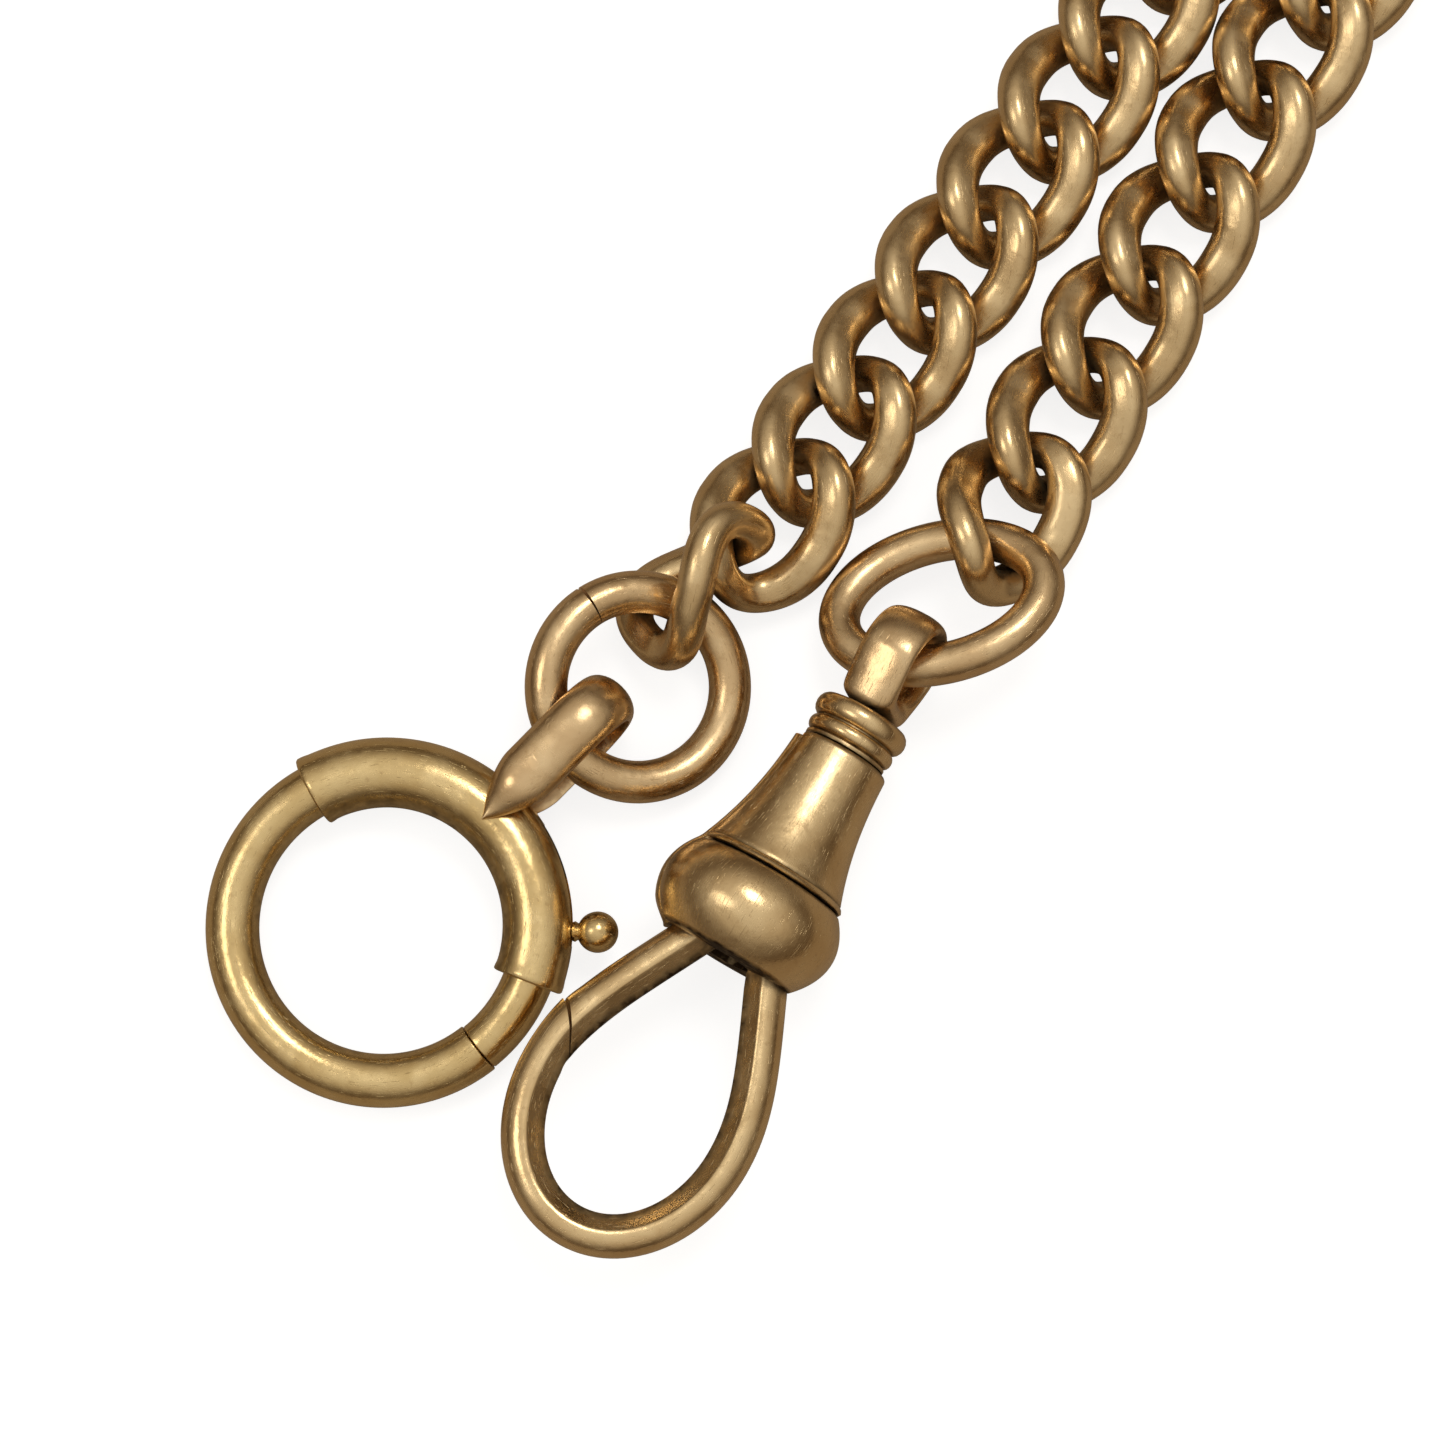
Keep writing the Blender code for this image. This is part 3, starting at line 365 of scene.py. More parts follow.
def gold_material(name, pale, deep, roughness, seed):
    """Return worn gold: mottled colour, rubbed grain, scratches, dents, and brown patina with painted shade
    in joins and hollows.
    """
    made = bpy.data.materials.new(name)
    made.use_nodes = True
    tree = made.node_tree
    shader = tree.nodes["Principled BSDF"]
    shader.inputs["Metallic"].default_value = 1.0

    def node(kind, **settings):
        added = tree.nodes.new(kind)
        for key, value in settings.items():
            setattr(added, key, value)
        return added

    def noise(vector, scale, detail, distortion=0.0):
        added = node("ShaderNodeTexNoise")
        added.inputs["Scale"].default_value = scale
        added.inputs["Detail"].default_value = detail
        added.inputs["Distortion"].default_value = distortion
        tree.links.new(vector, added.inputs["Vector"])
        return added.outputs["Fac"]

    def stretch(vector, scale, turn=0.0):
        added = node("ShaderNodeMapping")
        added.inputs["Scale"].default_value = scale
        added.inputs["Rotation"].default_value = (0.0, 0.0, turn)
        added.inputs["Location"].default_value = (seed, 0.37 * seed, 0.0)
        tree.links.new(vector, added.inputs["Vector"])
        return added.outputs["Vector"]

    def ranged(value, low, high, to_low, to_high):
        added = node("ShaderNodeMapRange", clamp=True)
        for key, number in zip(("From Min", "From Max", "To Min", "To Max"), (low, high, to_low, to_high)):
            added.inputs[key].default_value = number
        tree.links.new(value, added.inputs["Value"])
        return added.outputs["Result"]

    def maths(operation, first, second):
        added = node("ShaderNodeMath", operation=operation)
        for socket, value in zip(added.inputs, (first, second)):
            if isinstance(value, (int, float)):
                socket.default_value = value
            else:
                tree.links.new(value, socket)
        return added.outputs["Value"]

    def blend(share, first, second):
        added = node("ShaderNodeMix", data_type="RGBA")
        tree.links.new(share, added.inputs["Factor"])
        for key, value in (("A", first), ("B", second)):
            socket = [s for s in added.inputs if s.name == key and s.type == "RGBA"][0]
            if isinstance(value, tuple):
                socket.default_value = value
            else:
                tree.links.new(value, socket)
        return [s for s in added.outputs if s.type == "RGBA"][0]

    coordinates = node("ShaderNodeTexCoord")
    body = stretch(coordinates.outputs["Object"], (1.0 / MM,) * 3)
    wire = coordinates.outputs["UV"]

    # Colour: two golds in soft patches, brown specks, and brown patina with painted shade where wires touch
    # and in hollows.
    mottle = noise(body, 0.45, 3.0, 0.6)
    fine = noise(body, 3.2, 4.0)
    colour = blend(ranged(mottle, 0.36, 0.64, 0.0, 1.0), deep, pale)
    spots = ranged(fine, 0.60, 0.74, 0.0, 0.35)
    colour = blend(spots, colour, SPOT_BROWN)

    # The mask darkens the colour as patina and as painted shade in joins, grooves and hollows.
    patina_and_shade_mask = node("ShaderNodeAttribute", attribute_name="patina_and_shade", attribute_type="GEOMETRY")
    uneven = ranged(noise(body, 1.6, 4.0, 0.4), 0.30, 0.70, 0.55, 1.25)
    patina_and_shade = maths("MULTIPLY", patina_and_shade_mask.outputs["Fac"], uneven)
    patina_and_shade = ranged(patina_and_shade, 0.08, 0.85, 0.0, 1.0)
    colour = blend(patina_and_shade, colour, PATINA_AND_SHADE_BROWN)

    # Wear: a fine grain and two sets of scratches along and across the wire.
    grain = noise(stretch(wire, (30.0, 260.0, 1.0)), 1.0, 3.0)
    scratch_a = ranged(noise(stretch(wire, (9.0, 150.0, 1.0), 0.5), 1.0, 2.0, 0.3), 0.66, 0.72, 0.0, 1.0)
    scratch_b = ranged(noise(stretch(wire, (11.0, 170.0, 1.0), -0.9), 1.0, 2.0, 0.3), 0.67, 0.73, 0.0, 1.0)
    scratches = maths("MAXIMUM", scratch_a, scratch_b)

    rough = ranged(mottle, 0.3, 0.7, roughness - 0.07, roughness + 0.07)
    rough = maths("ADD", rough, ranged(grain, 0.3, 0.7, -0.05, 0.06))
    rough = maths("ADD", rough, maths("MULTIPLY", scratches, 0.10))
    rough = maths("ADD", rough, maths("MULTIPLY", patina_and_shade, 0.35))

    # Relief, in millimetres: dents, pits, the grain and the scratches.
    dents = noise(body, 0.8, 2.0, 0.2)
    pits = noise(body, 9.0, 3.0)
    height = maths("MULTIPLY", dents, 0.034)
    height = maths("ADD", height, maths("MULTIPLY", pits, 0.0035))
    height = maths("ADD", height, maths("MULTIPLY", grain, 0.0022))
    height = maths("SUBTRACT", height, maths("MULTIPLY", scratches, 0.006))
    bump = node("ShaderNodeBump")
    bump.inputs["Strength"].default_value = 1.0
    bump.inputs["Distance"].default_value = MM
    tree.links.new(height, bump.inputs["Height"])

    tree.links.new(colour, shader.inputs["Base Color"])
    tree.links.new(rough, shader.inputs["Roughness"])
    tree.links.new(bump.outputs["Normal"], shader.inputs["Normal"])
    return made


CHAIN_GOLD = gold_material("chain_gold", (0.81, 0.605, 0.335, 1.0), (0.70, 0.495, 0.255, 1.0), 0.27, 1.3)
RING_GOLD = gold_material("ring_gold", (0.80, 0.585, 0.33, 1.0), (0.69, 0.475, 0.25, 1.0), 0.26, 5.1)
BOLT_GOLD = gold_material("bolt_ring_gold", (0.80, 0.60, 0.30, 1.0), (0.70, 0.50, 0.225, 1.0), 0.22, 9.7)
CLIP_GOLD = gold_material("clip_gold", (0.82, 0.61, 0.335, 1.0), (0.72, 0.51, 0.26, 1.0), 0.23, 13.9)
PIN_GOLD = gold_material("pin_gold", (0.34, 0.21, 0.09, 1.0), (0.22, 0.13, 0.055, 1.0), 0.45, 17.2)
STEEL = gold_material("spring_steel", (0.36, 0.34, 0.31, 1.0), (0.22, 0.20, 0.18, 1.0), 0.42, 21.4)


# Chain and jump rings.


def link_shape():
    """Return a link's middle line and the direction of its face at each point."""
    turns = np.linspace(0.0, 2.0 * math.pi, 112, endpoint=False)
    power = 2.0 / LINK_SQUARENESS
    twist = -math.radians(LINK_TWIST) * np.cos(turns)
    side = (LINK_WIDTH - LINK_WIRE) / 2.0 * swell(np.sin(turns), power)
    along = (LINK_LENGTH - LINK_WIRE) / 2.0 * swell(np.cos(turns), power)
    path = np.stack([along, side * np.cos(twist), side * np.sin(twist)], axis=1)
    face = np.stack([0.0 * twist, -np.sin(twist), np.cos(twist)], axis=1)
    return path, face


def worn_section(count, radius, around=32):
    """Return the link's section: round at its ends, and fuller along its sides, with worn faces."""
    section = circle_section(count, radius, around)
    turns = np.linspace(0.0, 2.0 * math.pi, count, endpoint=False)
    side = np.abs(np.sin(turns))[:, None] ** 1.6
    out = section[:, :, 0]
    section[:, :, 0] = out * (1.0 + side * np.where(out > 0.0, LINK_SIDE_OUT, LINK_SIDE_IN) / radius)
    section[:, :, 1] *= 1.0 + side * LINK_SIDE_FACE / radius
    flat = LINK_WORN_TO * radius * (1.0 + side * LINK_SIDE_FACE / radius)
    over = np.maximum(np.abs(section[:, :, 1]) - flat, 0.0)
    section[:, :, 1] -= np.sign(section[:, :, 1]) * over * LINK_RUBBED
    return section


def contact_patina_and_shade(points, name):
    """Return how dark each point is made, as patina and painted shade, by the wires that lie against it."""
    nearest = np.full(len(points), 9.0)
    middle = points.mean(axis=0)
    for other, (path, radius) in wires.items():
        own = BODY_OF[other] == BODY_OF[name] or {name, other} <= BOLT_RING_PARTS
        if own or np.linalg.norm(path.mean(axis=0) - middle) > NEAR_LINK:
            continue
        for start in range(0, len(points), 1500):
            part = points[start:start + 1500]
            gap = np.linalg.norm(part[:, None, :] - path[None], axis=2).min(axis=1) - radius
            nearest[start:start + 1500] = np.minimum(nearest[start:start + 1500], gap)
    return 1.0 - smooth_step(nearest, *PATINA_AND_SHADE_REACH)


def ring_path(length, width, slit_angle):
    """Return the middle line of an oval ring that is open by a narrow slit."""
    half_length, half_width = length / 2.0, width / 2.0
    opening = RING_SLIT / (half_length + half_width)
    turns = math.radians(slit_angle) + np.linspace(opening, 2.0 * math.pi - opening, 120)
    return np.stack([half_length * np.cos(turns), half_width * np.sin(turns), 0.0 * turns], axis=1)


pieces = []
link_path, link_face = link_shape()
link_mesh = sweep(link_path, link_face, worn_section(len(link_path), LINK_WIRE / 2.0), closed=True)
for number in range(1, LINK_COUNT + 1):
    link = "link_%02d" % number
    middle, axes = solid_axes(link)
    spot = axes_frame(middle, axes[:, 0], axes[:, 2])
    wires[link] = (to_row(link_path, spot), LINK_WIRE / 2.0)
    pieces.append((link + "_wire", link_mesh, spot, CHAIN_GOLD, link))

ring_1_middle, ring_1_axes = solid_axes("jump_ring_1")
ring_1_up = ring_1_axes[:, 2] * np.sign(ring_1_axes[2, 2])
ring_1_spot = axes_frame(ring_1_middle, heading(RING_1_SLIT_HEADING), ring_1_up)
ring_1_path = ring_path(2.0 * RING_1_RADIUS, 2.0 * RING_1_RADIUS, 0.0)

ring_2_middle, ring_2_axes = solid_axes("jump_ring_2")
ring_2_up = ring_2_axes[:, 2] * np.sign(ring_2_axes[2, 2])
ring_2_along = ring_2_axes[:, 0] * np.sign(np.dot(ring_2_axes[:, 0], heading(RING_2_HEADING)))
ring_2_spot = axes_frame(ring_2_middle, ring_2_along, ring_2_up)
ring_2_path = ring_path(RING_2_LENGTH - RING_2_WIRE, RING_2_WIDTH - RING_2_WIRE, RING_2_SLIT)

for ring, path, radius, spot in (
    ("jump_ring_1", ring_1_path, RING_1_WIRE / 2.0, ring_1_spot),
    ("jump_ring_2", ring_2_path, RING_2_WIRE / 2.0, ring_2_spot),
):
    level = np.tile((0.0, 0.0, 1.0), (len(path), 1))
    shape = sweep(path, level, circle_section(len(path), radius, 32))
    wires[ring] = (to_row(path, spot), radius)
    pieces.append((ring + "_wire", shape, spot, RING_GOLD, ring))


# Bolt ring.

slide = JOINTS["bolt_slide"]
bolt_middle = np.array(slide["pos_m"]) / MM
bail_side = solid_axes("ring_bail")[0] - bolt_middle
bolt_spot = axes_frame(bolt_middle, np.cross(bail_side, slide["axis"]), slide["axis"])


def bent_rod(ends, radius, edge):
    """Return a rod bent to the ring's radius, between two angles in degrees."""
    per_degree = math.radians(BOLT_RING_RADIUS)
    lengths = [angle * per_degree for angle in ends]
    steps = int((ends[1] - ends[0]) / 2.2)
    profile = softened(lengths, radius, steps, edge)
    return turned([(at / per_degree, size) for at, size in profile], 36, BOLT_RING_RADIUS)


def sleeve_shape():
    """Return the hollow sleeve with a soft raised lip at both ends."""
    per_degree = math.radians(BOLT_RING_RADIUS)
    start, end = (angle * per_degree for angle in SLEEVE_ENDS)
    lip = [(0.00, -0.16), (0.03, -0.06), (0.10, 0.0), (0.30, 0.0), (0.55, -0.035), (0.9, -0.045)]
    outer = [(start + at, SLEEVE_RADIUS + rise) for at, rise in lip]
    outer += [(at, SLEEVE_RADIUS - 0.045) for at in np.linspace(start + 1.2, end - 1.2, 56)]
    outer += [(end - at, SLEEVE_RADIUS + rise) for at, rise in lip[::-1]]
    bore = SLEEVE_RADIUS - SLEEVE_WALL
    inner = [(at, bore) for at in np.linspace(end, start, 48)]
    profile = [(at / per_degree, size) for at, size in outer + inner]
    return turned(profile, 44, BOLT_RING_RADIUS, closed=True)


def bail_shape():
    """Return the U-shaped strap: flat inside, rounded outside, with a point at each foot."""
    taper = np.linspace(BAIL_TIP, BAIL_SHOULDER, 20)
    straight = np.concatenate([taper, np.linspace(BAIL_SHOULDER + 0.3, BAIL_BEND, 9)])
    turns = np.radians(np.linspace(-90.0, 90.0, 30))[1:-1]
    lower = np.stack([straight, np.full(len(straight), -BAIL_INSIDE)], axis=1)
    bend = np.stack([BAIL_BEND + BAIL_INSIDE * np.cos(turns), BAIL_INSIDE * np.sin(turns)], axis=1)
    flat = np.concatenate([lower, bend, lower[::-1] * (1.0, -1.0)])
    path = np.stack([0.0 * flat[:, 0], flat[:, 0], flat[:, 1]], axis=1)
    near_tip = np.clip((flat[:, 0] - BAIL_TIP) / (BAIL_SHOULDER - BAIL_TIP), 0.012, 1.0)
    width = BAIL_HALF_WIDTH * (1.0 - (1.0 - near_tip) ** 1.7)
    thick = BAIL_STRAP * (0.35 + 0.65 * smooth_step(near_tip, 0.0, 0.8))
    turns = np.linspace(0.0, 2.0 * math.pi, 36, endpoint=False) - math.pi / 2.0
    across, deep = np.sin(turns), np.cos(turns)
    deep = np.where(deep > 0.0, 0.12 + 0.88 * deep, 0.12 + 0.12 * swell(deep, 0.5))
    section = np.stack([thick[:, None] * deep, width[:, None] * across], axis=2)
    level = np.tile((1.0, 0.0, 0.0), (len(path), 1))
    return path, sweep(path, level, section)


def button_shape():
    """Return the ball, its neck and its small collar."""
    foot = BOLT_RING_RADIUS + BOLT_RADIUS + 0.05
    profile = [(foot, BUTTON_STEM), (BUTTON_REACH - 1.25, BUTTON_STEM)]
    profile += [(BUTTON_REACH - 1.20, 0.46), (BUTTON_REACH - 1.08, 0.50), (BUTTON_REACH - 0.99, 0.44)]
    turns = np.radians(np.linspace(156.0, 3.0, 22))
    profile += [(BUTTON_REACH + BUTTON_BALL * math.cos(t), BUTTON_BALL * math.sin(t)) for t in turns]
    return turned(profile, 32)


def inner_side_darkening(points, amount):
    """Return darkening on the side of a bent rod that faces the ring's middle."""
    out = np.hypot(points[:, 0], points[:, 1]) - BOLT_RING_RADIUS
    return amount * smooth_step(-out, 0.75, 1.5)


tube = bent_rod(TUBE_ENDS, TUBE_RADIUS, 0.06)
sleeve = sleeve_shape()
bolt = bent_rod(BOLT_ENDS, BOLT_RADIUS, 0.06)
bail_path, bail = bail_shape()
button_spot = bolt_spot @ np.array(Matrix.Rotation(math.radians(BUTTON_ANGLE), 4, "Z"))
pieces.append(("tube_skin", tube, bolt_spot, BOLT_GOLD, "ring_tube"))
pieces.append(("sleeve_skin", sleeve, bolt_spot, BOLT_GOLD, "ring_sleeve"))
pieces.append(("bail_strap", bail, bolt_spot, RING_GOLD, "ring_bail"))
pieces.append(("bolt_rod", bolt, bolt_spot, BOLT_GOLD, "bolt"))
pieces.append(("button_ball", button_shape(), button_spot, BOLT_GOLD, "thumb_button"))
# The bail and sleeve darken parts that touch them with patina and painted shade.
wires["ring_bail"] = (to_row(bail_path, bolt_spot), BAIL_PATINA_AND_SHADE_RADIUS)
ring_turns = np.radians(np.arange(*SLEEVE_ENDS, 2.0))
sleeve_line = np.stack([np.cos(ring_turns), np.sin(ring_turns), 0.0 * ring_turns], axis=1)
sleeve_line = BOLT_RING_RADIUS * sleeve_line
wires["ring_sleeve"] = (to_row(sleeve_line, bolt_spot), SLEEVE_RADIUS)


# Swivel and clip.

clip_middle = np.array(JOINTS["clip_turn"]["pos_m"]) / MM
clip_spot = axes_frame(clip_middle, JOINTS["clip_turn"]["axis"], JOINTS["gate_swing"]["axis"])
eye_width_axis = solid_axes("swivel_eye")[1][:, 2]
eye_spot = axes_frame(clip_middle, -np.array(JOINTS["clip_turn"]["axis"]), eye_width_axis)


def body_radius(u):
    """Return the bell's outside radius."""
    share = np.clip((u - BODY_TOP) / (BODY_BOTTOM - BODY_TOP), 0.0, 1.0)
    flare = 0.25 * share + 0.75 * share ** 2.4
    return BODY_TOP_RADIUS + (BODY_BOTTOM_RADIUS - BODY_TOP_RADIUS) * flare


def base_radius(u):
    """Return the bulb's outside radius."""
    widest = BASE_TOP + 0.46 * (BASE_BOTTOM - BASE_TOP)
    share = np.clip((widest - u) / (widest - BASE_TOP), 0.0, 1.0)
    upper = BASE_RADIUS - (BASE_RADIUS - BODY_BOTTOM_RADIUS) * share ** 2
    share = np.clip((u - widest) / (BASE_BOTTOM - widest), 0.0, 1.0)
    lower = BASE_RADIUS - (BASE_RADIUS - BASE_RIM_RADIUS) * share ** 2
    return np.where(u < widest, upper, lower)


def eye_shape():
    """Return the eye: a pillowed band round an oval hole, deeper where it stands on the collar."""
    turns = np.linspace(0.0, 2.0 * math.pi, 96, endpoint=False)
    cos, sin = np.cos(turns), np.sin(turns)
    hole = 1.0 / np.hypot(cos / EYE_HOLE[0], sin / EYE_HOLE[1])
    outside = 1.0 / np.hypot(cos / EYE_OUTSIDE[0], sin / EYE_OUTSIDE[1])
    slope = (EYE_OUTSIDE[1] - EYE_FOOT_HALF) / (EYE_CENTRE - EYE_FOOT)
    back = np.maximum(-cos, 1e-6)
    side = EYE_OUTSIDE[1] / np.maximum(np.abs(sin) + slope * back, 1e-6)
    foot = (EYE_CENTRE - EYE_FOOT) / back
    outside = np.where(cos < 0.0, np.minimum(side, foot), outside)
    outside = (np.roll(outside, 1) + 2.0 * outside + np.roll(outside, -1)) / 4.0
    outside = np.minimum(outside, np.where(cos < -0.5, foot, 99.0))
    middle, half = (outside + hole) / 2.0, (outside - hole) / 2.0
    around = np.linspace(0.0, 2.0 * math.pi, 32, endpoint=False) - math.pi / 2.0
    deep, across = swell(np.cos(around), 0.92), swell(np.sin(around), 0.86)
    reach = middle[:, None] + half[:, None] * deep
    rings = np.stack([
        EYE_CENTRE + reach * cos[:, None],
        reach * sin[:, None],
        EYE_HALF_WIDTH * across[None] + 0.0 * reach,
    ], axis=2)
    length = np.linspace(0.0, 2.0, 97)
    girth = np.linspace(0.0, 0.8, 33)
    return stitch(rings, True, length, girth)


def bead(middle, half, radius, rise):
    """Return a rounded bead in a turned profile."""
    turns = np.radians(np.linspace(0.0, 180.0, 9))
    return [(middle - half * math.cos(t), radius + rise * math.sin(t)) for t in turns]


def collar_shape():
    """Return the two-bead collar, with the post and head that the clip turns on."""
    big = COLLAR_RADIUS
    profile = [(-COLLAR_TOP, 0.02), (-COLLAR_TOP, big - 0.62)]
    profile += bead(-0.42, 0.56, big - 0.42, 0.42)
    profile += bead(0.56, 0.36, big - 0.42, 0.26)
    profile += [(0.95, big - 0.46), (1.04, big - 0.30), (COLLAR_BOTTOM, big - 0.30)]
    profile += [(COLLAR_BOTTOM, POST_RADIUS), (1.9, POST_RADIUS), (1.9, HEAD_RADIUS)]
    profile += [(2.1, HEAD_RADIUS), (2.4, 0.5), (2.4, 0.02)]
    return turned(profile, 64)


def bell_shape():
    """Return the hollow bell, with a fine bead at its lower edge."""
    outer_at = np.linspace(BODY_BOTTOM - 0.42, BODY_TOP + 0.22, 40)
    outer = [(u, float(body_radius(u))) for u in outer_at][::-1]
    top = BODY_TOP_RADIUS
    cap = [(BODY_TOP, POST_HOLE), (BODY_TOP, top - 0.22)]
    cap += [(BODY_TOP + 0.05, top - 0.10), (BODY_TOP + 0.13, top - 0.02)]
    rim_radius = float(body_radius(BODY_BOTTOM))
    rim = [(BODY_BOTTOM - 0.34, rim_radius - 0.17), (BODY_BOTTOM - 0.26, rim_radius - 0.05)]
    rim += [(BODY_BOTTOM - 0.12, rim_radius + 0.02), (BODY_BOTTOM - 0.03, rim_radius - 0.03)]
    rim += [(BODY_BOTTOM, rim_radius - 0.10)]
    inner_at = np.linspace(BODY_BOTTOM, BODY_TOP + SHELL_WALL, 24)
    inner = [(u, float(body_radius(u)) - SHELL_WALL) for u in inner_at]
    inner.append((BODY_TOP + SHELL_WALL, POST_HOLE))
    return turned(cap + outer + rim + inner, 96, closed=True)


def bulb_shape():
    """Return the hollow bulb with rounded edges."""
    outer_at = np.linspace(BASE_TOP + 0.08, BASE_BOTTOM - 0.10, 44)
    first = [(BASE_TOP, BODY_BOTTOM_RADIUS - 0.12), (BASE_TOP + 0.02, BODY_BOTTOM_RADIUS - 0.04)]
    outer = [(u, float(base_radius(u))) for u in outer_at]
    rim = [(BASE_BOTTOM - 0.03, BASE_RIM_RADIUS - 0.03), (BASE_BOTTOM, BASE_RIM_RADIUS - 0.12)]
    inner_at = np.linspace(BASE_BOTTOM - BASE_FLOOR, BASE_TOP, 24)
    inner = [(BASE_BOTTOM, BASE_HOLE), (BASE_BOTTOM - BASE_FLOOR, BASE_HOLE)]
    inner += [(u, float(base_radius(u)) - SHELL_WALL) for u in inner_at]
    return turned(first + outer + rim + inner, 96, closed=True)


def hook_flank(share):
    """Return a point on the hook's flank, from its exit (0) to its widest place (1)."""
    length = HOOK_WIDEST - BASE_BOTTOM
    widest = HOOK_MIDDLE + HOOK_HALF_WIDTH
    corners = np.array([
        (BASE_BOTTOM, HOOK_EXIT),
        (BASE_BOTTOM + 0.42 * length, HOOK_EXIT + 0.42 * length * HOOK_SLOPE),
        (BASE_BOTTOM + 0.68 * length, widest),
        (HOOK_WIDEST, widest),
    ])
    back = 1.0 - share
    return np.array((back ** 3, 3.0 * back ** 2 * share, 3.0 * back * share ** 2, share ** 3)) @ corners


def other_side(point):
    """Return a point's mirror image across the hook's middle line."""
    return np.array((point[0], 2.0 * HOOK_MIDDLE - point[1]))


def seam_share():
    """Return how far along its flank the hook ends."""
    shares = np.linspace(0.0, 1.0, 2001)
    return float(shares[np.argmin([abs(hook_flank(s)[0] - SEAM_AT) for s in shares])])


def hook_section(count):
    """Return the hook wire's section: round outside, with a worn ridge above flat inner faces."""
    section = circle_section(count, HOOK_WIRE / 2.0, 40)
    radius = HOOK_WIRE / 2.0
    out, up = section[:, :, 0], np.abs(section[:, :, 1])
    rise = np.clip((up - 0.30 * radius) / (0.68 * radius), 0.0, 1.0)
    facet = radius * (-0.95 + 0.77 * rise)
    section[:, :, 0] = np.where(out < -0.10 * radius, np.maximum(out, facet), out)
    return section


def slant_end(points, path, section, lean):
    """Lean the last rings of a wire so that its end face follows the seam."""
    distance = np.linalg.norm(path - path[-1], axis=1)
    along = np.gradient(path, axis=0)
    along /= np.linalg.norm(along, axis=1)[:, None]
    weight = (1.0 - smooth_step(distance, 0.0, 2.6))[:, None]
    shift = weight * (lean * section[:, :, 0] - SEAM_TILT * section[:, :, 1])
    shift -= (1.0 - smooth_step(distance, 0.0, 1.5))[:, None] * SEAM_GAP / 2.0
    return points + (shift[:, :, None] * along[:, None, :]).reshape(-1, 3)


def hook_shape():
    """Return the pear-shaped hook from its root to the seam."""
    root = [np.array(HOOK_ROOT) + (hook_flank(0.0) - np.array(HOOK_ROOT)) * s for s in (0.0, 0.5)]
    flank = [hook_flank(s) for s in np.linspace(0.0, 1.0, 26)][:-1]
    turns = np.linspace(0.0, math.pi, 64)
    bottom = np.stack([
        HOOK_WIDEST + (HOOK_BOTTOM - HOOK_WIDEST) * np.sin(turns),
        HOOK_MIDDLE + HOOK_HALF_WIDTH * np.cos(turns),
    ], axis=1)
    last = [other_side(hook_flank(s)) for s in np.linspace(1.0, seam_share(), 10)][1:]
    flat = np.array(root + flank + list(bottom) + last)
    path = np.column_stack([flat, np.zeros(len(flat))])
    section = hook_section(len(path))
    level = np.tile((0.0, 0.0, -1.0), (len(path), 1))
    points, faces, uvs = sweep(path, level, section)
    return (slant_end(points, path, section, SEAM_LEAN), faces, uvs), section


def joined(first, second):
    """Return two shapes as one."""
    count = len(first[0])
    faces = first[1] + [tuple(count + k for k in face) for face in second[1]]
    return np.concatenate([first[0], second[0]]), faces, first[2] + second[2]


def gate_shape():
    """Return the gate: a strip let into the bell and bulb, and the arm that it springs."""
    strip_at = np.linspace(BODY_TOP + 0.30, BASE_BOTTOM - 0.04, 64)
    outside = np.where(strip_at < BODY_BOTTOM + 0.05, body_radius(strip_at), base_radius(strip_at))
    outside = np.convolve(np.pad(outside, 1, mode="edge"), np.ones(3) / 3.0, mode="valid")
    sunk = STRIP_END_SINK * smooth_step(strip_at, BASE_BOTTOM - 1.1, BASE_BOTTOM)
    middle = -(outside + GATE_PROUD - sunk - GATE_STRIP / 2.0)
    strip_path = np.column_stack([strip_at, middle, 0.0 * middle])
    around = np.linspace(0.0, 2.0 * math.pi, 40, endpoint=False) - math.pi / 2.0
    across = GATE_HALF_WIDTH * swell(np.sin(around), 0.55)
    drop = outside[:, None] - np.sqrt(outside[:, None] ** 2 - across[None] ** 2)
    deep = GATE_STRIP / 2.0 * swell(np.cos(around), 0.55)[None] - drop
    strip_rings = np.stack([deep, np.broadcast_to(across, deep.shape)], axis=2)
    strip = sweep(strip_path, np.tile((0.0, 0.0, 1.0), (len(strip_path), 1)), strip_rings)

    arm = []
    for s in np.linspace(0.0, seam_share(), 30):
        u, w = hook_flank(s)
        arm.append(other_side((u, w - GATE_INSET * (1.0 - s))))
    root = [arm[0] - (arm[1] - arm[0]) * k for k in (3.0, 2.0, 1.0)]
    flat = np.array(root + arm)
    path = np.column_stack([flat, np.zeros(len(flat))])
    section = hook_section(len(path))
    points, faces, uvs = sweep(path, np.tile((0.0, 0.0, 1.0), (len(path), 1)), section)
    arm_shape = (slant_end(points, path, section, -SEAM_LEAN), faces, uvs)
    # The arm's inner faces get patina and a painted dark reflection; the strip gets none.
    patina_and_shade_mask = np.concatenate([np.zeros(strip_rings[:, :, 0].size), facet_patina_and_shade(section, 0.85)])
    return joined(strip, arm_shape), patina_and_shade_mask


def facet_patina_and_shade(section, amount):
    """Return patina and a painted dark reflection on the inner faces of the hook's wire."""
    inward = smooth_step(-section[:, :, 0], 0.45 * HOOK_WIRE / 2.0, 0.95 * HOOK_WIRE / 2.0)
    return (amount * inward).ravel()


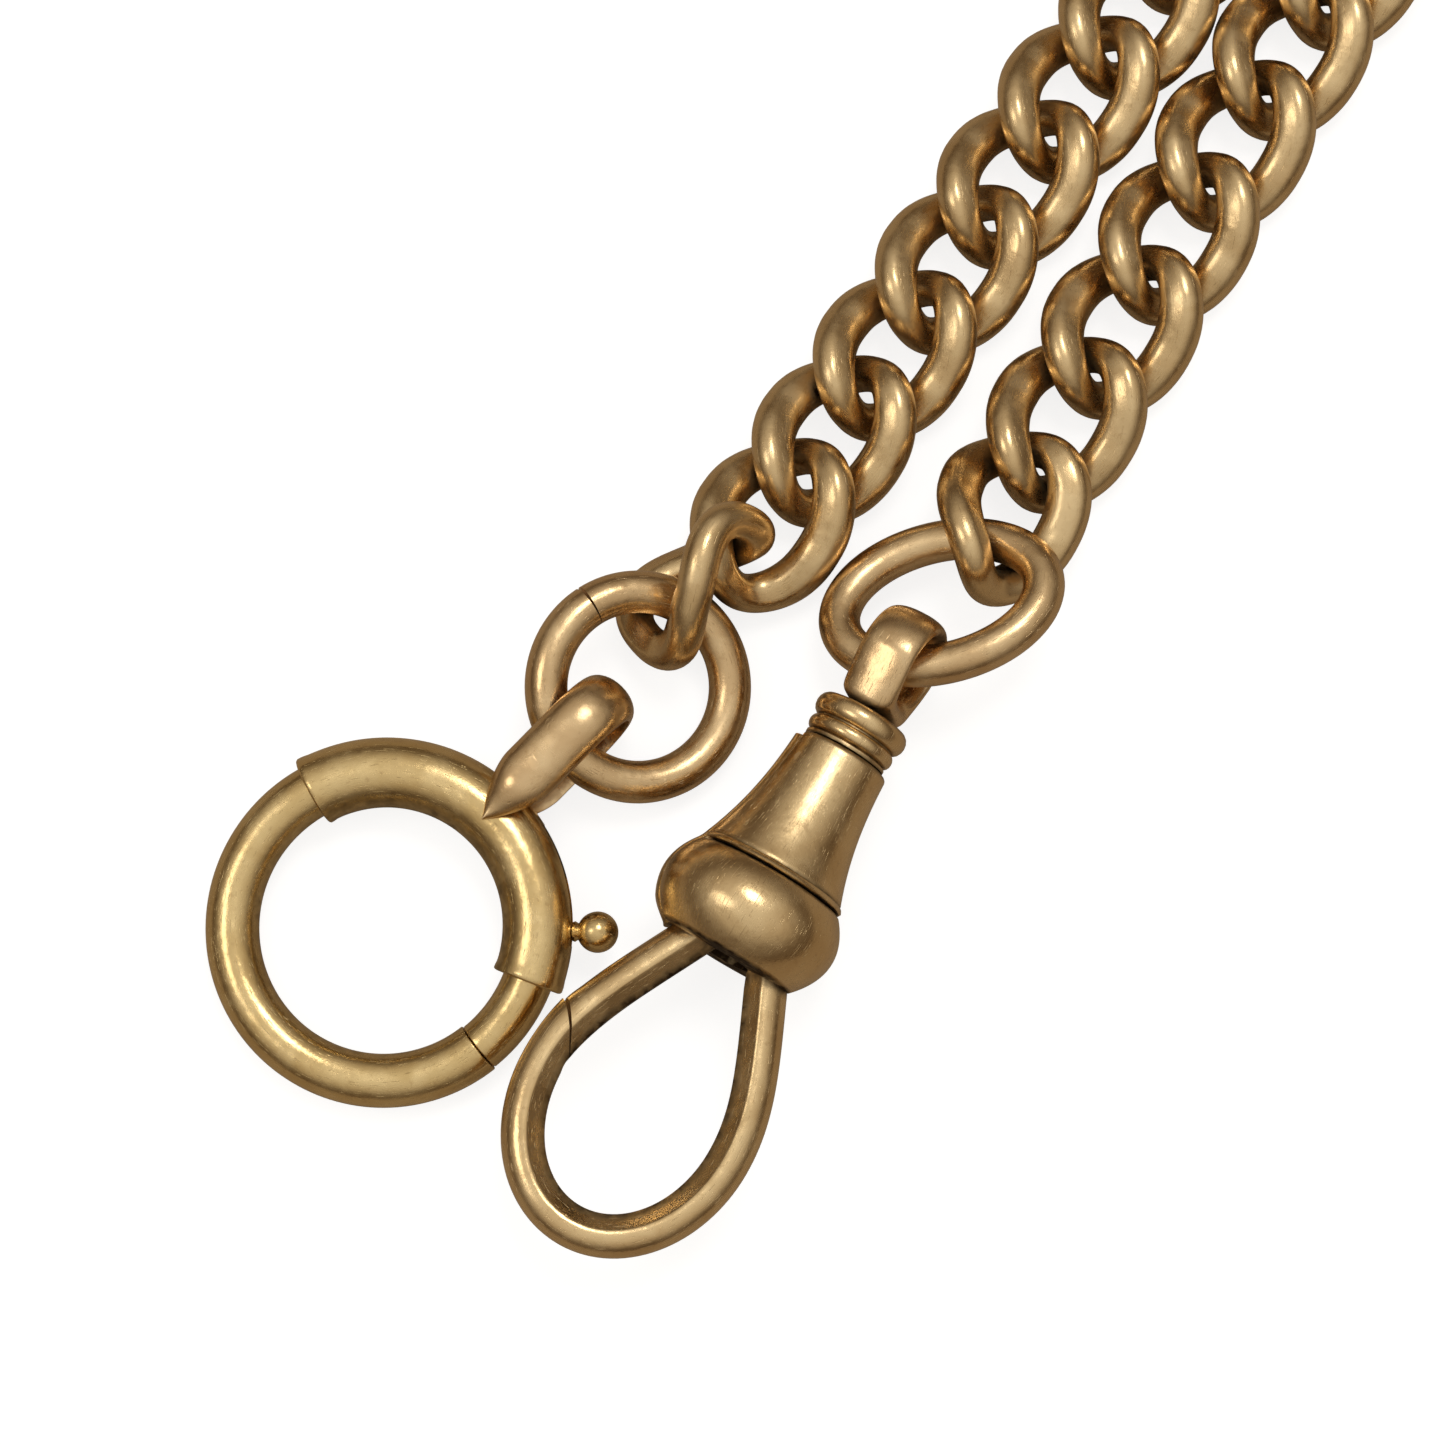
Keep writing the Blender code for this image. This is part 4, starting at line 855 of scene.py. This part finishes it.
hook, hook_rings = hook_shape()
gate, gate_patina_and_shade = gate_shape()
pieces.append(("eye_band", eye_shape(), eye_spot, RING_GOLD, "swivel_eye"))
pieces.append(("collar_beads", collar_shape(), clip_spot, CLIP_GOLD, "swivel_collar"))
pieces.append(("bell_shell", bell_shape(), clip_spot, CLIP_GOLD, "clip_body"))
pieces.append(("bulb_shell", bulb_shape(), clip_spot, CLIP_GOLD, "clip_base"))
pieces.append(("hook_wire", hook, clip_spot, CLIP_GOLD, "clip_hook"))
pieces.append(("gate_arm", gate, clip_spot, CLIP_GOLD, "gate_lever"))
eye_top = np.array([(EYE_CENTRE + EYE_PATINA_AND_SHADE_REACH, 0.0, 0.0)])
# The eye's top darkens the jump ring through it with patina and painted shade.
wires["swivel_eye"] = (to_row(eye_top, eye_spot), EYE_PATINA_AND_SHADE_RADIUS)


def groove_patina_and_shade(u, seams, width, amount):
    """Return patina and painted shade that darken grooves at given places along the clip's axis."""
    patina_and_shade_mask = np.zeros(len(u))
    for seam in seams:
        patina_and_shade_mask = np.maximum(patina_and_shade_mask, amount * (1.0 - smooth_step(np.abs(u - seam), 0.0, width)))
    return patina_and_shade_mask


def own_patina_and_shade(node, points):
    """Return the patina and painted shade that a piece's own shape gathers, from points in its own axes."""
    u = points[:, 0]
    radius = np.hypot(points[:, 1], points[:, 2])
    if node in ("ring_tube", "ring_sleeve", "bolt"):
        return inner_side_darkening(points, 0.50)
    if node == "swivel_collar":
        return groove_patina_and_shade(u, (0.17, 0.95, -COLLAR_TOP, COLLAR_BOTTOM), 0.12, 0.7)
    if node == "clip_body":
        # Painted shade inside the hollow bell, with patina in its grooves.
        inside = 1.0 - smooth_step(radius, body_radius(u) - 0.4, body_radius(u) - 0.2)
        groove = groove_patina_and_shade(u, (BODY_BOTTOM - 0.36, BODY_BOTTOM + 0.05), 0.12, 0.7)
        return np.maximum(np.maximum(inside, groove), groove_patina_and_shade(u, (BODY_TOP,), 0.35, 0.6))
    if node == "clip_base":
        # Painted shade inside the hollow bulb, with patina at its seams.
        inside = 1.0 - smooth_step(radius, base_radius(u) - 0.4, base_radius(u) - 0.2)
        return np.maximum(inside, groove_patina_and_shade(u, (BASE_TOP, BASE_BOTTOM), 0.22, 0.9))
    if node == "clip_hook":
        # Patina and painted shade where the hook goes into the bulb.
        root = 0.7 * (1.0 - smooth_step(u, BASE_BOTTOM, BASE_BOTTOM + 0.4))
        return np.maximum(facet_patina_and_shade(hook_rings, 0.70), root)
    if node == "gate_lever":
        return np.maximum(gate_patina_and_shade, groove_patina_and_shade(u, (BASE_BOTTOM,), 0.35, 0.6))
    if node == "swivel_eye":
        # Patina and painted shade where the eye stands on the collar.
        return 0.8 * (1.0 - smooth_step(u, EYE_FOOT, EYE_FOOT + 0.5))
    return np.zeros(len(points))


made_pieces = {}
for name, shape, spot, material, node in pieces:
    # Each piece's mask of patina and painted shade, from its own shape and from wires that touch it.
    patina_and_shade_mask = np.maximum(own_patina_and_shade(node, shape[0]), contact_patina_and_shade(to_row(shape[0], spot), node))
    made_pieces[node] = add_piece(name, shape, spot, material, node, patina_and_shade_mask)

slot_profile = [(angle, SLOT_HALF_OPENING) for angle in np.linspace(*SLOT_ENDS, 16)]
slot_cut = turned(slot_profile, 16, BOLT_RING_RADIUS + SLEEVE_RADIUS - SLEEVE_WALL)
carve(made_pieces["ring_sleeve"], slot_cut[:2], bolt_spot)
slot_start = (BODY_TOP - 1.0, -6.0, -SLOT_HALF_WIDTH)
slot_end = (BASE_BOTTOM + 1.0, -SLOT_FLOOR, SLOT_HALF_WIDTH)
gate_slot = block(slot_start, slot_end)
for node in ("clip_body", "clip_base"):
    carve(made_pieces[node], gate_slot, clip_spot)

for node, material in (("bolt_spring", STEEL), ("gate_spring", STEEL), ("gate_pin", PIN_GOLD)):
    for held in frame["nodes"][node].material_slots:
        held.material = material


# Floor, light and camera.

view_middle = (bolt_middle + np.array((*VIEW_FROM_RING, 0.0))) * MM
view_middle[2] = VIEW_HEIGHT * MM


def add_floor():
    """Add the plain pale floor, which gives back less light than it shows."""
    half = 1.5
    mesh = bpy.data.meshes.new("floor")
    corners = [(-half, -half, 0.0), (half, -half, 0.0), (half, half, 0.0), (-half, half, 0.0)]
    mesh.from_pydata(corners, [], [(0, 1, 2, 3)])
    material = bpy.data.materials.new("pale_floor")
    material.use_nodes = True
    tree = material.node_tree
    shader = tree.nodes["Principled BSDF"]
    shader.inputs["Base Color"].default_value = (0.42, 0.42, 0.42, 1.0)
    shader.inputs["Roughness"].default_value = 0.9
    shader.inputs["Specular IOR Level"].default_value = 0.0
    given_back = tree.nodes.new("ShaderNodeBsdfDiffuse")
    given_back.inputs["Color"].default_value = (0.40, 0.33, 0.25, 1.0)
    shown = tree.nodes.new("ShaderNodeLightPath")
    glow = tree.nodes.new("ShaderNodeEmission")
    glow.inputs["Color"].default_value = (1.0, 1.0, 1.0, 1.0)
    glow.inputs["Strength"].default_value = 0.82
    both = tree.nodes.new("ShaderNodeAddShader")
    choose = tree.nodes.new("ShaderNodeMixShader")
    tree.links.new(shader.outputs["BSDF"], both.inputs[0])
    tree.links.new(glow.outputs["Emission"], both.inputs[1])
    tree.links.new(shown.outputs["Is Camera Ray"], choose.inputs["Fac"])
    tree.links.new(given_back.outputs["BSDF"], choose.inputs[1])
    tree.links.new(both.outputs["Shader"], choose.inputs[2])
    tree.links.new(choose.outputs["Shader"], tree.nodes["Material Output"].inputs["Surface"])
    mesh.materials.append(material)
    floor = bpy.data.objects.new("floor", mesh)
    bpy.context.scene.collection.objects.link(floor)


def add_softbox(name, azimuth, elevation, distance, size, radiance, colour):
    """Add a square soft light that faces the middle of the view."""
    data = bpy.data.lights.new(name, "AREA")
    data.shape = "DISK"
    data.size = size
    data.color = colour
    data.energy = radiance * math.pi * math.pi * (size / 2.0) ** 2
    lamp = bpy.data.objects.new(name, data)
    turn, rise = math.radians(azimuth), math.radians(elevation)
    way = Vector((math.cos(turn) * math.cos(rise), math.sin(turn) * math.cos(rise), math.sin(rise)))
    lamp.location = Vector(view_middle) + way * distance
    lamp.rotation_euler = way.to_track_quat("Z", "Y").to_euler()
    bpy.context.scene.collection.objects.link(lamp)


def add_world():
    """Light the scene from all round, bright above and dim and warm towards the horizon."""
    world = bpy.data.worlds.new("studio")
    bpy.context.scene.world = world
    world.use_nodes = True
    tree = world.node_tree
    back = tree.nodes["Background"]
    where = tree.nodes.new("ShaderNodeTexCoord")
    split = tree.nodes.new("ShaderNodeSeparateXYZ")
    ramp = tree.nodes.new("ShaderNodeValToRGB")
    stops = ((0.0, (0.10, 0.070, 0.045, 1.0)), (0.30, (0.17, 0.135, 0.10, 1.0)),
             (0.66, (0.52, 0.47, 0.40, 1.0)), (1.0, (0.78, 0.76, 0.72, 1.0)))
    while len(ramp.color_ramp.elements) < len(stops):
        ramp.color_ramp.elements.new(0.5)
    for element, (at, colour) in zip(ramp.color_ramp.elements, stops):
        element.position = at
        element.color = colour
    tree.links.new(where.outputs["Generated"], split.inputs["Vector"])
    tree.links.new(split.outputs["Z"], ramp.inputs["Fac"])
    tree.links.new(ramp.outputs["Color"], back.inputs["Color"])
    back.inputs["Strength"].default_value = 1.0


def add_camera():
    """Add the camera at the angle that the chain is seen from."""
    data = bpy.data.cameras.new("view")
    data.sensor_width = SENSOR_WIDTH
    data.lens = SENSOR_WIDTH * VIEW_DISTANCE / VIEW_WIDTH
    data.clip_start = 0.01
    camera = bpy.data.objects.new("view", data)
    rise, turn = math.radians(VIEW_ELEVATION), math.radians(VIEW_TURN)
    level_up = Vector((-math.sin(turn), math.cos(turn), 0.0))
    back = Vector((0.0, 0.0, math.sin(rise))) - level_up * math.cos(rise)
    right = Vector((math.cos(turn), math.sin(turn), 0.0))
    up = back.cross(right)
    place = Matrix((right, up, back)).transposed().to_4x4()
    place.translation = Vector(view_middle) + back * VIEW_DISTANCE * MM
    camera.matrix_world = place
    bpy.context.scene.collection.objects.link(camera)
    bpy.context.scene.camera = camera


add_floor()
add_world()
add_softbox("key", 100.0, 68.0, 0.45, 0.16, 5.5, (1.0, 0.98, 0.95))
add_softbox("fill", 215.0, 55.0, 0.50, 0.18, 2.2, (1.0, 0.97, 0.93))
add_camera()
bpy.context.scene.view_settings.view_transform = "Standard"
